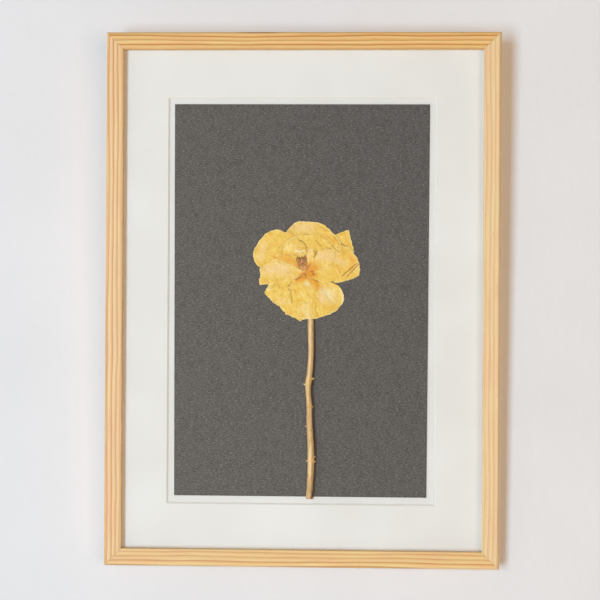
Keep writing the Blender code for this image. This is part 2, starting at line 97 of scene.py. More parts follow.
def addMesh(name, points, faces, material, smoothAngle, attributes):
    # one mesh object from arrays; it is turned if its signed volume, a sum of a . (b x c), is negative
    mesh = bpy.data.meshes.new(name)
    mesh.from_pydata(points.tolist(), [], faces)
    mesh.materials.append(material)
    kinds = {1: ("FLOAT", "value"), 3: ("FLOAT_VECTOR", "vector"), 4: ("FLOAT_COLOR", "color")}
    for key, values in attributes.items():
        values = np.ascontiguousarray(values, np.float32).ravel()
        kind, field = kinds[values.size // len(points)]
        mesh.attributes.new(key, kind, "POINT").data.foreach_set(field, values)
    mesh.calc_loop_triangles()
    corners = np.zeros(len(mesh.loop_triangles) * 3, np.int32)
    mesh.loop_triangles.foreach_get("vertices", corners)
    a, b, c = points[corners.reshape(-1, 3)].transpose(1, 0, 2)
    if np.einsum("ij,ij->", a, np.cross(b, c)) < 0:
        mesh.flip_normals()
    mesh.shade_smooth()
    mesh.set_sharp_from_angle(angle=math.radians(smoothAngle))
    return addObject(name, mesh)


def register(piece, slotName, *standsFor):
    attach(piece, "root")
    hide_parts(*standsFor)


def ripple(x, z, seed, wavelength, count=9):
    # sum of plane sine waves of about one wavelength in seeded directions, with a spread near 1
    rng = np.random.default_rng(seed)
    angles = rng.uniform(0, 2 * math.pi, count)
    lengths = wavelength * rng.uniform(0.65, 1.7, count)
    phases = rng.uniform(0, 2 * math.pi, count)
    total = np.zeros(np.broadcast(x, z).shape)
    for angle, length, phase in zip(angles, lengths, phases):
        total = total + np.sin(2 * math.pi * (x * math.cos(angle) + z * math.sin(angle)) / length + phase)
    return total * math.sqrt(2 / count)


def gridFaces(columns, rows):
    # quads over a grid that is stored column by column
    i, j = np.meshgrid(np.arange(columns - 1), np.arange(rows - 1), indexing="ij")
    here = (i * rows + j).ravel()
    return np.stack((here, here + rows, here + rows + 1, here + 1), axis=1).tolist()


def tubeFaces(rings, sides, start=0):
    # quads round a tube that is stored ring by ring
    i, k = np.meshgrid(np.arange(rings - 1), np.arange(sides), indexing="ij")
    here, beside = (start + i * sides + k).ravel(), (start + i * sides + (k + 1) % sides).ravel()
    return np.stack((here, beside, beside + sides, here + sides), axis=1).tolist()


def circle(sides):
    return np.linspace(0, 2 * np.pi, sides, endpoint=False)


def endFaces(rings, sides):
    # a flat face over the first ring of a tube and one over the last
    return [tuple(range(sides))[::-1], tuple(range((rings - 1) * sides, rings * sides))]


# Scots pine, planed and left bare: pale soft early wood between harder, darker, glossier rings
pineLook = dict(ringMm=3, ringTilt=0.55, wanderMm=1.7, early="#F5E4C2", middle="#E4B97E", late="#B67B3C",
                resin="#B57D45", ground="#E8CEA7")


def makePine():
    made, shader, add = newMaterial("planed pine")
    look = pineLook
    grain = add("Attribute", {"attribute_name": "grainPlace"}).outputs["Vector"]
    # rings wander slowly along the rail: 90 mm along, 16 mm across
    slow = add("VectorMath", {"operation": "MULTIPLY", 0: grain, 1: (11, 62, 62)})
    wander = add("TexNoise", {"Vector": slow, "Scale": 1, "Detail": 2})
    tilt = look["ringTilt"]
    ringAxis = [side / look["ringMm"] / mm for side in (0, math.cos(tilt), math.sin(tilt))]
    steady = add("VectorMath", {"operation": "DOT_PRODUCT", 0: grain, 1: ringAxis})
    wave = 2 * look["wanderMm"] / look["ringMm"]
    ring = add("Math", {"operation": "MULTIPLY_ADD", 0: wander, 1: wave, 2: steady})
    share = add("Math", {"operation": "FRACT", 0: ring})
    number = add("Math", {"operation": "FLOOR", 0: ring})
    strength = add("TexWhiteNoise", {"noise_dimensions": "1D", "W": number})
    ringColour = add("ValToRGB", {"Fac": share, "ramp": (
        (0, look["early"]), (0.34, look["early"]), (0.66, look["middle"]), (0.88, look["late"]),
        (1, look["early"]))})
    fade = add("MapRange", {"Value": strength, "To Min": 0.55, "To Max": 1.05})
    warmth = add("Attribute", {"attribute_name": "warmth"}).outputs["Fac"]
    fade = add("Math", {"operation": "MULTIPLY", 0: fade, 1: warmth})
    ground = add("Mix", {0: fade, 6: look["ground"], 7: ringColour})
    # fibres 0.35 mm wide and 25 mm long
    fine = add("VectorMath", {"operation": "MULTIPLY", 0: grain, 1: (40, 2800, 2800)})
    fibre = add("TexNoise", {"Vector": fine, "Scale": 1, "Detail": 3, "Roughness": 0.65})
    tone = add("MapRange", {"Value": fibre, "From Min": 0.3, "From Max": 0.7, "To Min": 0.9, "To Max": 1.07})
    # resin canals: short brown dashes
    dash = add("VectorMath", {"operation": "MULTIPLY", 0: grain, 1: (230, 2600, 2600)})
    canal = add("TexNoise", {"Vector": dash, "Scale": 1, "Detail": 1})
    canal = add("MapRange", {"Value": canal, "From Min": 0.7, "From Max": 0.78, "To Max": 0.55})
    # slow pinkish and yellowish patches
    patch = add("TexNoise", {"Vector": slow, "Scale": 2.3, "Detail": 2})
    patchColour = add("ValToRGB", {"ramp": ((0.35, "#FFF0E0"), (0.65, "#FFFBE8")), "Fac": patch})
    toned = add("Mix", {"blend_type": "MULTIPLY", 0: 1, 6: ground, 7: patchColour})
    tint = add("Attribute", {"attribute_name": "tint"}).outputs["Color"]
    toned = add("Mix", {"blend_type": "MULTIPLY", 0: 1, 6: toned, 7: tint})
    toned = add("VectorMath", {"operation": "SCALE", 0: toned, 3: tone})
    toned = add("Mix", {0: canal, 6: toned, 7: look["resin"]})
    late = add("MapRange", {"Value": share, "From Min": 0.6, "From Max": 0.9})
    sheen = add("MapRange", {"Value": late, "To Min": 0.56, "To Max": 0.4})
    height = add("Math", {"operation": "MULTIPLY_ADD", 0: late, 1: 0.8, 2: fibre})
    bump = add("Bump", {"Strength": 0.35, "Distance": 0.00012, "Height": height})
    setInputs(shader, {"Base Color": toned, "Roughness": sheen, "Normal": bump})
    return made


pine = makePine()
rails = dict(width=317.7, height=430.3, depth=20, face=14, back=5, rebate=5, lip=2.5, outerRound=2.4,
             innerRound=0.7, backRound=0.6, mitreGap=0.1, stations=170, wearMm=0.12, worn=0.7, dents=5)


def arcPoints(u, y, radius, start, end, steps):
    # points on a circle about (u, y) from one angle to the other, in degrees
    angle = np.radians(np.linspace(start, end, steps + 1))
    return np.stack((u + radius * np.cos(angle), y + radius * np.sin(angle)), axis=1)


def railProfile():
    # section of a rail: u from its outer edge inwards, y from the back face (0) to the front (negative)
    r = rails
    inner, rebateU = r["face"] - r["innerRound"], r["face"] - r["rebate"]
    return np.concatenate((
        [(rebateU, 0), (r["back"], 0)],
        arcPoints(r["backRound"], -r["backRound"], r["backRound"], 90, 180, 3),
        [(0, -0.35 * r["depth"]), (0, -0.65 * r["depth"])],
        arcPoints(r["outerRound"], r["outerRound"] - r["depth"], r["outerRound"], 180, 270, 12),
        np.stack((np.linspace(r["outerRound"] + 1, inner - 1, 12), np.full(12, -r["depth"])), axis=1),
        arcPoints(inner, r["innerRound"] - r["depth"], r["innerRound"], 270, 360, 6),
        [(r["face"], r["lip"] - r["depth"]), (rebateU, r["lip"] - r["depth"])],
    ))


def addPine(name, stand, points, grain, smoothAngle, warmth, tint):
    # a bar of pine from its points in millimetres, station by station, and its own place in the grain
    stations, count = points.shape[:2]
    faces = tubeFaces(stations, count) + endFaces(stations, count)
    piece = addMesh(name, points.reshape(-1, 3) * mm, faces, pine, smoothAngle, {
        "grainPlace": grain * mm, "warmth": np.full(stations * count, warmth),
        "tint": np.tile(toLinear(tint), (stations * count, 1))})
    register(piece, "pine", stand)


def sweepRail(name, stand, half, reach, turn, seed, warmth, tint):
    # the section is carried along x and cut at 45 degrees, so x = t (half - u - gap) for t from -1 to 1;
    # wear draws its outer round in by a slow ripple and a few small dents, then the rail is turned about Y
    profile = railProfile()
    u, y = profile[None, :, 0], profile[None, :, 1]
    t = np.linspace(-1, 1, rails["stations"])[:, None]
    x = t * (half - u - rails["mitreGap"] / 2 * math.sqrt(2))
    edge = rails["worn"]
    rounded = np.exp(-((u - edge) ** 2 + (y + rails["depth"] - edge) ** 2) / 2.2)
    rng = np.random.default_rng(seed)
    wear = rails["wearMm"] * (0.6 + 0.4 * np.sin(x / 31 + seed) * np.sin(x / 12.3))
    middles = rng.uniform(-0.9, 0.9, rails["dents"]) * half
    for middle, deep in zip(middles, rng.uniform(0.1, 0.3, rails["dents"])):
        wear = wear + deep * np.exp(-((x - middle) / 1.3) ** 2)
    z = reach - (u + rounded * wear * edge)
    c, s = math.cos(turn), math.sin(turn)
    points = np.stack((x * c + z * s, y + rounded * wear * edge, centreZ / mm - x * s + z * c), axis=2)
    grain = np.stack((x + 700 * seed, u + 37 * seed + 0 * x, y + 53 * seed + 0 * x), axis=2)
    addPine(name, stand, points, grain, 32, warmth, tint)


halfX, halfZ = rails["width"] / 2, rails["height"] / 2
sweepRail("topRail", "rail_top", halfX, halfZ, 0, 1, 1, "#F6E4BC")
sweepRail("bottomRail", "rail_bottom", halfX, halfZ, math.pi, 2, 0.75, "#F9F0D8")
sweepRail("rightRail", "rail_right", halfZ, halfX, math.pi / 2, 3, 0.3, "#FFFFFF")
sweepRail("leftRail", "rail_left", halfZ, halfX, -math.pi / 2, 4, 0.8, "#FBEFE1")
print("rails swept")

# pine strips between the glass and the mat, just behind the lip
strips = dict(wide=3.4, front=-15.4, back=-12.4, inset=10, clear=0.3, ease=0.2, stations=9, warmth=0.6,
              tint="#FAF1D6")


def addStrip(name, stand, low, high, lengthAxis, seed):
    # a bar with its four long edges eased, carried along its length
    a = strips["ease"]
    low, high = np.array(low), np.array(high)
    wide, deep = (high - low)[1 - lengthAxis], strips["back"] - strips["front"]
    section = np.array([(a, 0), (wide - a, 0), (wide, a), (wide, deep - a), (wide - a, deep), (a, deep),
                        (0, deep - a), (0, a)])
    stations = np.linspace(low[lengthAxis], high[lengthAxis], strips["stations"])[:, None]
    across = section[None, :, 0] + low[1 - lengthAxis] + 0 * stations
    depth = section[None, :, 1] + strips["front"] + 0 * stations
    along = stations + 0 * across
    x, z = (along, across) if lengthAxis == 0 else (across, along)
    points = np.stack((x, depth, z + centreZ / mm), axis=2)
    grain = np.stack((along + 900 * seed, across + 41 * seed, depth + 13 * seed), axis=2)
    addPine(name, stand, points, grain, 30, strips["warmth"], strips["tint"])


packX, packZ = halfX - strips["inset"], halfZ - strips["inset"]
sideX, sideZ = packX - strips["wide"], packZ - strips["wide"]
endZ = sideZ - strips["clear"]
addStrip("topStrip", "spacer_top", (-packX, sideZ), (packX, packZ), 0, 5)
addStrip("bottomStrip", "spacer_bottom", (-packX, -packZ), (packX, -sideZ), 0, 6)
addStrip("leftStrip", "spacer_left", (-packX, -endZ), (-sideX, endZ), 1, 7)
addStrip("rightStrip", "spacer_right", (sideX, -endZ), (packX, endZ), 1, 8)


def makeBoard(name, colour, shade, grainMm, tooth, roughness, attribute=None):
    # pressed cotton or wood pulp: a fine tooth, with slow clouds where the pulp lay thicker
    made, shader, add = newMaterial(name, Roughness=roughness, Specular_IOR_Level=0.3)
    spot = add("TexCoord").outputs["Object"]
    fine = add("TexNoise", {"Vector": spot, "Scale": 1 / grainMm / mm, "Detail": 3, "Roughness": 0.6})
    cloud = add("TexNoise", {"Vector": spot, "Scale": 22, "Detail": 2})
    blend = add("Math", {"operation": "MULTIPLY_ADD", 0: fine, 1: 0.5, 2: cloud})
    share = add("MapRange", {"Value": blend, "From Min": 0.55, "From Max": 0.95})
    mixed = add("Mix", {0: share, 6: shade, 7: colour})
    if attribute:
        core = add("Attribute", {"attribute_name": attribute}).outputs["Fac"]
        mixed = add("Mix", {0: core, 6: mixed, 7: "#F4F1EA"})
    bump = add("Bump", {"Strength": 0.4, "Distance": tooth * mm, "Height": fine})
    setInputs(shader, {"Base Color": mixed, "Normal": bump})
    return made


matLook = dict(window=(-109.3, 108, -165.9, 163.8), front=-12.1, thick=1.4, bevel=1.19, edge=0.12)
matBoard = makeBoard("cotton mat board", "#F0EFEC", "#EBE9E5", 0.35, 0.05, 0.9, "core")


def addWindowMat():
    # nested rectangles joined in order: outer edge, front face, then the 45 degree cut down to the back face;
    # the corner of the cut is eased over a tenth of a millimetre
    m = matLook
    low = np.array((m["window"][0], m["window"][2]))
    high = np.array((m["window"][1], m["window"][3]))
    ease = m["edge"]
    # does the ring follow the window, its depth, how far it stands in, and is it cut board
    rings = [(0, m["thick"], 0, 1), (0, 0, 0, 0), (1, 0, -6 * ease, 0), (1, 0, -ease, 0),
             (1, 0.3 * ease, 0.3 * ease, 1), (1, m["thick"], m["bevel"], 1)]
    outer = np.array((packX, packZ))
    points, core = [], []
    for follows, deep, inwards, cut in rings:
        a = low + inwards if follows else -outer
        b = high - inwards if follows else outer
        for x, z in ((a[0], a[1]), (b[0], a[1]), (b[0], b[1]), (a[0], b[1])):
            points.append((x, m["front"] + deep, z + centreZ / mm))
            core.append(cut)
    faces = []
    for ring in range(len(rings)):
        here, there = 4 * ring, 4 * ((ring + 1) % len(rings))
        faces += [(here + i, here + (i + 1) % 4, there + (i + 1) % 4, there + i) for i in range(4)]
    piece = addMesh("windowMat", np.array(points) * mm, faces, matBoard, 20, {"core": np.array(core, float)})
    register(piece, "mat_board", "window_mat")


addWindowMat()
nodes["mount_board"].data.materials[0] = makeBoard("white mount board", "#EBEAE7", "#E6E4E0", 0.4, 0.04, 0.9)


# grey construction card: soft pulp with lighter and darker fibres a millimetre or so long
cardLook = dict(light="#84807C", dark="#363534",
                ground=((0.3, "#535150"), (0.5, "#5A5857"), (0.7, "#5D5B5A")))


def makeCard():
    made, shader, add = newMaterial("flecked grey card", Roughness=0.95, Specular_IOR_Level=0.2)
    spot = add("TexCoord").outputs["Object"]
    lying = add("Mapping", {"Vector": spot, "Scale": (500, 900, 1150)})
    standing = add("Mapping", {"Vector": spot, "Rotation": (0, 0.9, 0), "Scale": (420, 900, 1300)})
    first = add("TexNoise", {"Vector": lying, "Scale": 1, "Detail": 2})
    second = add("TexNoise", {"Vector": standing, "Scale": 1, "Detail": 2})
    cloud = add("TexNoise", {"Vector": spot, "Scale": 160, "Detail": 3})
    lightShare = add("MapRange", {"Value": first, "From Min": 0.53, "From Max": 0.68, "To Max": 0.7})
    darkShare = add("MapRange", {"Value": second, "From Min": 0.54, "From Max": 0.68, "To Max": 0.95})
    ground = add("ValToRGB", {"Fac": cloud, "ramp": cardLook["ground"]})
    mixed = add("Mix", {0: lightShare, 6: ground, 7: cardLook["light"]})
    mixed = add("Mix", {0: darkShare, 6: mixed, 7: cardLook["dark"]})
    bump = add("Bump", {"Strength": 0.5, "Distance": 0.0001, "Height": first})
    setInputs(shader, {"Base Color": mixed, "Normal": bump})
    return made


nodes["dark_card"].data.materials[0] = makeCard()


def makeHardboard():
    # wood fibre pressed on a wire screen: brown, with loose darker fibres and the screen's 1.3 mm weave
    made, shader, add = newMaterial("pressed hardboard", Roughness=0.75, Specular_IOR_Level=0.3)
    spot = add("TexCoord").outputs["Object"]
    fibre = add("TexNoise", {"Vector": spot, "Scale": 420, "Detail": 5, "Distortion": 1.4})
    colour = add("ValToRGB", {"ramp": ((0.3, "#5E4330"), (0.5, "#8A6647"), (0.72, "#AA8663")), "Fac": fibre})
    weaveX = add("TexWave", {"bands_direction": "X", "Vector": spot, "Scale": 120, "Distortion": 0.6})
    weaveZ = add("TexWave", {"bands_direction": "Z", "Vector": spot, "Scale": 120, "Distortion": 0.6})
    weave = add("Math", {"operation": "MULTIPLY", 0: weaveX.outputs["Fac"], 1: weaveZ.outputs["Fac"]})
    height = add("Math", {"operation": "MULTIPLY_ADD", 0: fibre, 1: 0.6, 2: weave})
    bump = add("Bump", {"Strength": 0.6, "Distance": 0.0002, "Height": height})
    setInputs(shader, {"Base Color": colour, "Normal": bump})
    return made


nodes["backboard"].data.materials[0] = makeHardboard()


def makeSteel():
    # stamped steel strip, zinc plated: grey with fine rolling lines and dull spangle
    made, shader, add = newMaterial("zinc plated steel", Metallic=1)
    spot = add("TexCoord").outputs["Object"]
    rolled = add("Mapping", {"Vector": spot, "Scale": (90, 5200, 5200)})
    lines = add("TexNoise", {"Vector": rolled, "Scale": 1, "Detail": 3})
    spangle = add("TexVoronoi", {"Vector": spot, "Scale": 520}).outputs["Color"]
    grey = add("ValToRGB", {"ramp": ((0, "#A9A8A4"), (1, "#CFCDC8")), "Fac": spangle})
    dull = add("MapRange", {"Value": lines, "To Min": 0.28, "To Max": 0.5})
    bump = add("Bump", {"Strength": 0.3, "Distance": 0.00003, "Height": lines})
    setInputs(shader, {"Base Color": grey, "Roughness": dull, "Normal": bump})
    return made


steel = makeSteel()
for name in nodes:
    if name.startswith(("retaining_point", "sawtooth_hanger", "hanger_nail")):
        nodes[name].data.materials[0] = steel


# picture glass, drawn and left polished: clear, with a trace of green
pane = nodes["glass_pane"]
pane.data.materials[0] = newMaterial("clear picture glass", Base_Color="#FCFEFD", Roughness=0, IOR=1.5,
                                     Transmission_Weight=1)[0]
pane.visible_shadow = pane.visible_diffuse = False  # clear glass lets nearly all light past
print("boards, steel and glass finished")


# the rose: millimetres from the middle of the flower, heights above the card
flower = dict(x=2.4, z=-187.15, card=-11.1, gap=0.1, thick=0.12, cell=0.4, low=(-48, -44),
              shape=(242, 220), spacing=0.34, relax=26, crumple=0.2, rimLift=0.3, rimMm=1.5, foldMm=7.5,
              fineMm=2.6, curlMm=9, raggedMm=3.4, ragged=0.13, seed=20)
# base and foot: middle and width of the straight foot; sides: how far each swells outwards; claw: how far the
# orange of the foot reaches; edge: the free edge as x, z, x, z; a mark: its breadth, strength and line
petals = {
    "petal_tip_back": dict(base=(15, 15), foot=8, sides=(0, 0), edge=(24, 32, 31, 34.8, 34.8, 35.7, 36, 31,
        37.6, 25, 39.4, 18), marks=dict(
        gold=[(2.5, 0.5, 32.6, 29.1, 37.3, 20.2)],
        # the brown line is a painted shadow along the top petal's edge, where it lies over this one
        brown=[(0.45, 0.95, 24.9, 30.6, 28.8, 25, 33.2, 22.6, 37.9, 18.9)])),
    "petal_right_back": dict(base=(16, 2.5), foot=5, sides=(1, 0), edge=(41, 14, 43.6, 8.5, 44.1, 3,
        43, -0.7, 38.5, -3.3, 31.7, -5.6, 24, -7), marks=dict(
        # the brown line is a painted shadow along the right petal's edge, where it lies over this one
        brown=[(0.32, 1, 33.7, -1.6, 38.5, 3.2, 42.9, 8.3)],
        gold=[(3, 0.4, 31.4, -3.9, 42, -0.3)])),
    "petal_lower_left": dict(base=(-2.2, -1), foot=4, sides=(0.5, 1), claw=6, ragged=0.3, edge=(-29.8, -8.3,
        -31.6, -12.4, -33, -15, -30.9, -17.6, -26.3, -22.4, -20, -27, -15.5, -32.4, -12.5, -33.2, -5, -37.3,
        0.5, -36.2), marks=dict(
        olive=[(0.5, 1, -13.2, -9, -12.5, -9.3), (0.45, 1, -13.6, -12.1, -13, -12.5),
            (0.4, 0.7, -12.4, -8, -9.1, -5.6, -5, -3), (0.35, 0.5, -28.5, -12.1, -25.9, -10, -24.4, -7.7),
            (0.35, 0.5, -21.8, -9.2, -20.9, -11.2)],
        gold=[(0.8, 0.9, -22.2, -16.5, -22, -16.7), (0.8, 0.9, -19.7, -16.3, -19.4, -16.6),
            (1.6, 0.5, -25.6, -10.3, -19.7, -8.3)],
        pink=[(3, 0.35, -20.3, -20.9, -14.4, -22.7)],
        pale=[(0.8, 0.6, -30.3, -12.7, -27.4, -11.2)])),
    "petal_upper_left": dict(base=(-1.8, 2), foot=5, sides=(1, 0), claw=7, edge=(-9.4, 30.2, -15.6, 33.6,
        -23.8, 36, -32.6, 32.2, -40, 22.6, -42.3, 15.5, -40, 8.5, -32.4, 1.5), marks=dict(
        gold=[(0.8, 0.7, -16.2, 27, -20.9, 24.1, -25.6, 23.2),
            (1.6, 0.5, -23.2, 27.3, -27.9, 23.2, -30.9, 17.3, -32.9, 9.7),
            # these gold patches, and the orange ones below, lie in the throat under the inner left petal:
            # partly deeper gold, partly painted shade in that recess
            (3, 0.8, -20.8, 13.2, -8.1, 10.7), (2.2, 0.7, -26.2, 12.6, -20.3, 11.4),
            (2, 0.8, -33.5, 9.1, -32.9, 7.9)],
        olive=[(0.5, 0.6, -19.1, 23.3, -21.2, 20.9, -21.4, 18.5),
            # the first olive line here is a painted shadow under the small inner petal's rolled rim
            (0.6, 0.9, -10.1, 16.8, -7.4, 15.4, -4.6, 13.8), (0.4, 0.5, -25.6, 11.4, -24.7, 13.2)],
        orange=[(2, 0.4, -23.8, 14.7, -19.1, 15.8, -12.1, 14.7), (2.6, 0.5, -13.4, 11.4, -7.4, 9.1, -5, 5.5)],
        pink=[(3, 0.5, -33.2, 23.2, -36.2, 13.8)])),
    "petal_top": dict(base=(3, 15), foot=9, sides=(0, 1), edge=(-14.2, 26, -15.6, 33.6, -8, 41.8, 0, 42.6,
        12.3, 41.2, 20.5, 35.1, 28, 26.3, 29.8, 16.8), marks=dict(
        pink=[(5, 0.55, -7.4, 38.5, 3.2, 37.9)],
        olive=[(0.35, 0.35, -9.3, 40.8, -9.7, 37.9, -9.6, 34.1)],
        gold=[(3, 0.55, 6.7, 39.1, 11.4, 34.4, 13.8, 31.4), (2, 0.3, -13.2, 31.4, -3.8, 32.6)],
        orange=[(2.2, 0.4, 17.9, 30.2, 22, 27.3), (0.8, 0.45, 20.9, 33.2, 25.6, 27.3, 27.9, 22)],
        brown=[(0.45, 0.5, 12.3, 38.5, 14.4, 36.7, 16.2, 35.2)])),
    "petal_lower_middle": dict(base=(0.4, 1), foot=5, sides=(1, 1), claw=4.5, edge=(-12.5, -10, -11.5, -20,
        -9.5, -30, -5, -35.4, 8, -35.8, 19.5, -32.4, 24, -29.8), marks=dict(
        # the second pale mark, a long band, is a painted highlight where the petal rides over the stem
        pale=[(1.5, 0.95, 0.6, -7.1, 1.7, -8.3), (1.8, 0.4, 2, -24.4, 2.7, -35)],
        pink=[(1.2, 0.5, 3.8, -9.7, 5, -10.9), (2.6, 0.4, -3, -26.8, 2, -32.7)],
        # the first orange line is partly the orange foot and partly painted shade in the fold against the
        # lower right petal
        orange=[(1.3, 0.8, 6.7, -4.5, 8.8, -7.7, 9.9, -12.1), (2.4, 1, -5.5, -4.3, -0.5, -0.5, 6.7, -3.2),
            (0.5, 0.6, -8.8, -12.1, -6.8, -17.1), (1.2, 0.35, -10.3, -31.4, -8.2, -31.8)],
        gold=[(3.2, 0.7, -10.3, -6.2, -2.7, -3.9), (2.4, 0.7, -1.4, -4.6, -0.9, -9),
            (1.6, 0.6, -12.1, -12.7, -6.2, -15), (0.5, 0.7, -16.2, -26.5, -10.9, -27.3, -4.4, -26),
            (0.8, 0.4, 6, -21.5, 6.3, -35), (2.5, 0.3, 7.9, -18, 11.4, -23.9)],
        brown=[(0.55, 0.9, -7.6, -4.3, -4, -2.2, -0.6, 0.5), (0.7, 0.8, -0.6, 0.5, 2.2, -1.9, 6.3, -3.7)],
        olive=[(0.32, 0.75, -11.4, -12.1, -11.4, -17.4, -10.3, -23.3),
            (0.28, 0.45, -3.8, -24.3, -0.9, -23.4, 2.3, -22.7)])),
    "petal_lower_right": dict(base=(3, -1.2), foot=3.5, sides=(0, 1.5), claw=7, edge=(20.4, -5.8, 28, -10.4,
        31.5, -19.9, 27.6, -26.9, 24.3, -30, 19.5, -30.5, 15, -27, 13, -20.7), marks=dict(
        # the broad pale patch is a painted highlight on the bulging lobe
        pale=[(4.2, 0.9, 18.2, -15, 19.7, -16.8), (1, 0.6, 27.9, -11.5, 30.6, -18, 29.7, -23.9)],
        pink=[(1.8, 0.8, 12.9, -12.1, 12.3, -17.4, 14.4, -22.1), (2.5, 0.3, 19.7, -22.7, 25, -20.9)],
        gold=[(3, 0.35, 21.4, -27.4, 27.3, -23.9)],
        # the orange line is partly the orange foot and partly painted shade in the fold against the lower
        # middle petal
        orange=[(1.8, 0.75, 9.2, -4.8, 10.2, -7.4, 10.6, -11.9)],
        brown=[(0.7, 0.6, 6.3, -3.6, 8.6, -4.7, 10.3, -5.2)],
        olive=[(0.4, 0.7, 19.7, -5.9, 23.8, -6.8)])),
    "petal_right": dict(base=(0.5, 0.3), foot=4.5, sides=(1.5, 2.5), claw=6, edge=(17, 20.8, 26, 20.5,
        33, 22.6, 40.5, 15.3, 42.5, 9.7, 38, 4.6, 30.8, -1.3, 25.5, -5), marks=dict(
        brown=[(0.45, 0.55, 20.3, 23.3, 24.4, 21.1, 26.4, 18.5, 28.2, 17.8),
            (0.35, 0.5, 29, 23.5, 29.7, 21.4, 29.8, 18.5),
            (0.3, 0.5, 11.4, 3.7, 14.4, 5.8, 17.3, 7.4, 20.3, 9.1),
            # the first brown line on the next line is a painted shadow along this petal's folded lower right
            # edge
            (0.3, 1, 29.9, -1.2, 34.2, 2.6, 38, 5.9, 41.6, 9.1), (0.8, 0.7, 6, 1.2, 7.2, -0.2)],
        pink=[(3, 0.6, 25, 12, 30.9, 9.1), (0.5, 0.7, 12.9, 3.5, 18.2, 6.2),
            (1.4, 0.4, 24.4, 16.1, 27.9, 17.3)],
        orange=[(2.2, 0.5, 35.6, 14.9, 39.1, 9.7, 37.3, 5), (0.8, 0.6, 25.3, 7.3, 27, 4.4, 28.5, 1.4),
            (1.9, 0.8, 4.4, -0.3, 7.9, -0.3)],
        gold=[(3, 0.35, 16.7, 0.2, 28.5, -0.9), (2, 0.4, 30.9, 16.1, 34.4, 19.1)])),
    "petal_inner_crown": dict(base=(3, 12), foot=8, sides=(1, 1), rim=0.2, edge=(-20.9, 22, -12, 28.7,
        -1, 32.8, 10, 31.8, 19, 26.3, 24, 18.8), marks=dict(
        pale=[(0.7, 0.45, -18.2, 21.4, -15.6, 24.9, -10.9, 28.5, -6.8, 30.9)],
        olive=[(0.4, 0.5, -1.2, 32.4, 3.8, 32.2), (0.5, 0.6, 10, 32.4, 12.9, 30.5),
            (0.45, 0.8, -3, 27.2, 0, 24.4, 1.5, 21.3), (0.4, 0.4, -9.7, 26.4, -6.8, 27, -3.5, 26.6),
            (0.3, 0.8, 8.2, 27.6, 13.2, 22.6), (0.45, 0.5, -19.7, 20.3, -12.6, 25, -4.4, 27.1),
            (0.45, 0.6, 16.7, 21.5, 20.6, 20.5)],
        brown=[(0.4, 0.5, 12.3, 33.4, 16.8, 28.6, 23, 24.2)],
        gold=[(0.35, 0.7, 10.9, 28, 14.7, 23.2), (2.2, 0.4, -14.4, 22, -7.4, 24.4),
            (3, 0.4, 5.6, 26.7, 7.9, 22)],
        orange=[(2, 0.35, 18.5, 29.6, 22.6, 27.3)])),
    "petal_inner_left": dict(base=(-1.5, 20.5), foot=6, sides=(0, 0), edge=(-8.6, 15.6, -16, 16,
        -23.3, 14.2, -22.6, 18.6, -14.8, 25.6, -6, 27.8), marks=dict(
        pale=[(1, 0.4, -16.8, 20.8, -12.1, 23.2, -7.4, 23.2)],
        # the orange patch along the lower edge is partly deeper colour, partly painted shade in the throat
        # below this petal
        orange=[(1.8, 1, -16.8, 13.8, -8.5, 11.4)],
        olive=[(0.4, 0.8, -15.6, 16.1, -12.1, 15.5, -8.5, 15.8),
            (0.4, 0.5, -18.2, 22, -18.7, 18.5, -19.1, 16.1)],
        gold=[(1.4, 0.6, -19.7, 16.1, -15.6, 17.3)])),
    "petal_inner_broad": dict(base=(1.9, 1.6), foot=4.5, sides=(0, 0.5), claw=6, rim=0.4, edge=(8.4, 15.3,
        11, 19.2, 17.5, 20.4, 23, 17.4, 23.4, 12, 20, 8), marks=dict(
        pink=[(4.6, 0.75, 11, 15, 20.1, 14.2)],
        orange=[(2.8, 0.85, 5, 5, 8.2, 5.2), (2, 0.8, 6.2, 1.2, 3.2, 2)],
        brown=[(0.7, 0.7, 5, 2.4, 6.4, 2.2)],
        gold=[(1.8, 0.6, 6.7, 9.1, 11.4, 10.2)])),
    "petal_inner_narrow": dict(base=(1.6, 3.4), foot=2.5, sides=(0.5, 0.5), claw=5, rim=0.4, edge=(
        0.7, 15.3, 1.5, 19.4, 4.9, 20.9, 7.7, 19.8, 8.6, 16.4), marks=dict(
        pink=[(1.6, 0.8, 4.4, 19.1, 1.5, 11.4)],
        orange=[(1.6, 0.9, 4.4, 8.2, 2.4, 4.4, 1.4, 2.4)],
        # the brown line is a painted shadow beside the stamen brush
        brown=[(0.7, 0.75, 3.4, 7.4, 2.5, 5.2, 1, 2.4)],
        olive=[(0.4, 0.9, 6.7, 19.1, 8.2, 16.6, 7, 13.8)],
        pale=[(0.5, 0.5, 5.6, 19.9, 6.7, 19.1)])),
    "petal_inner_small": dict(base=(-3.9, 21.5), foot=7, sides=(0, 0), edge=(-9.5, 18, -8.8, 16.2, -5, 16,
        -1, 15.3, 1.2, 17.5), marks=dict(
        # painted light: the first pale line is a painted highlight on this petal's rolled rim, and the olive
        # line is a painted shadow under it
        pale=[(0.9, 1, -7.7, 18.6, -4.4, 17.9, -1.2, 18.9), (1.2, 0.3, -9.1, 20.2, -3.8, 20.2)],
        olive=[(0.5, 1, -10.3, 16.1, -7.4, 15.2, -4.4, 13.8)])),
    "petal_left_fan": dict(base=(0.1, 0.5), foot=2.6, sides=(0.4, 1.8), claw=4, edge=(-24.3, 12.5,
        -29.5, 9.5, -36.5, 4.6, -36.3, -1, -37.5, -5, -37, -8.8), marks=dict(
        pink=[(5, 0.75, -30.3, 3.8, -16.8, 3.2)],
        pale=[(1.5, 0.4, -24.4, 9.1, -16.8, 5.5), (0.7, 0.5, -8.5, 3.2, -3.8, 2.6)],
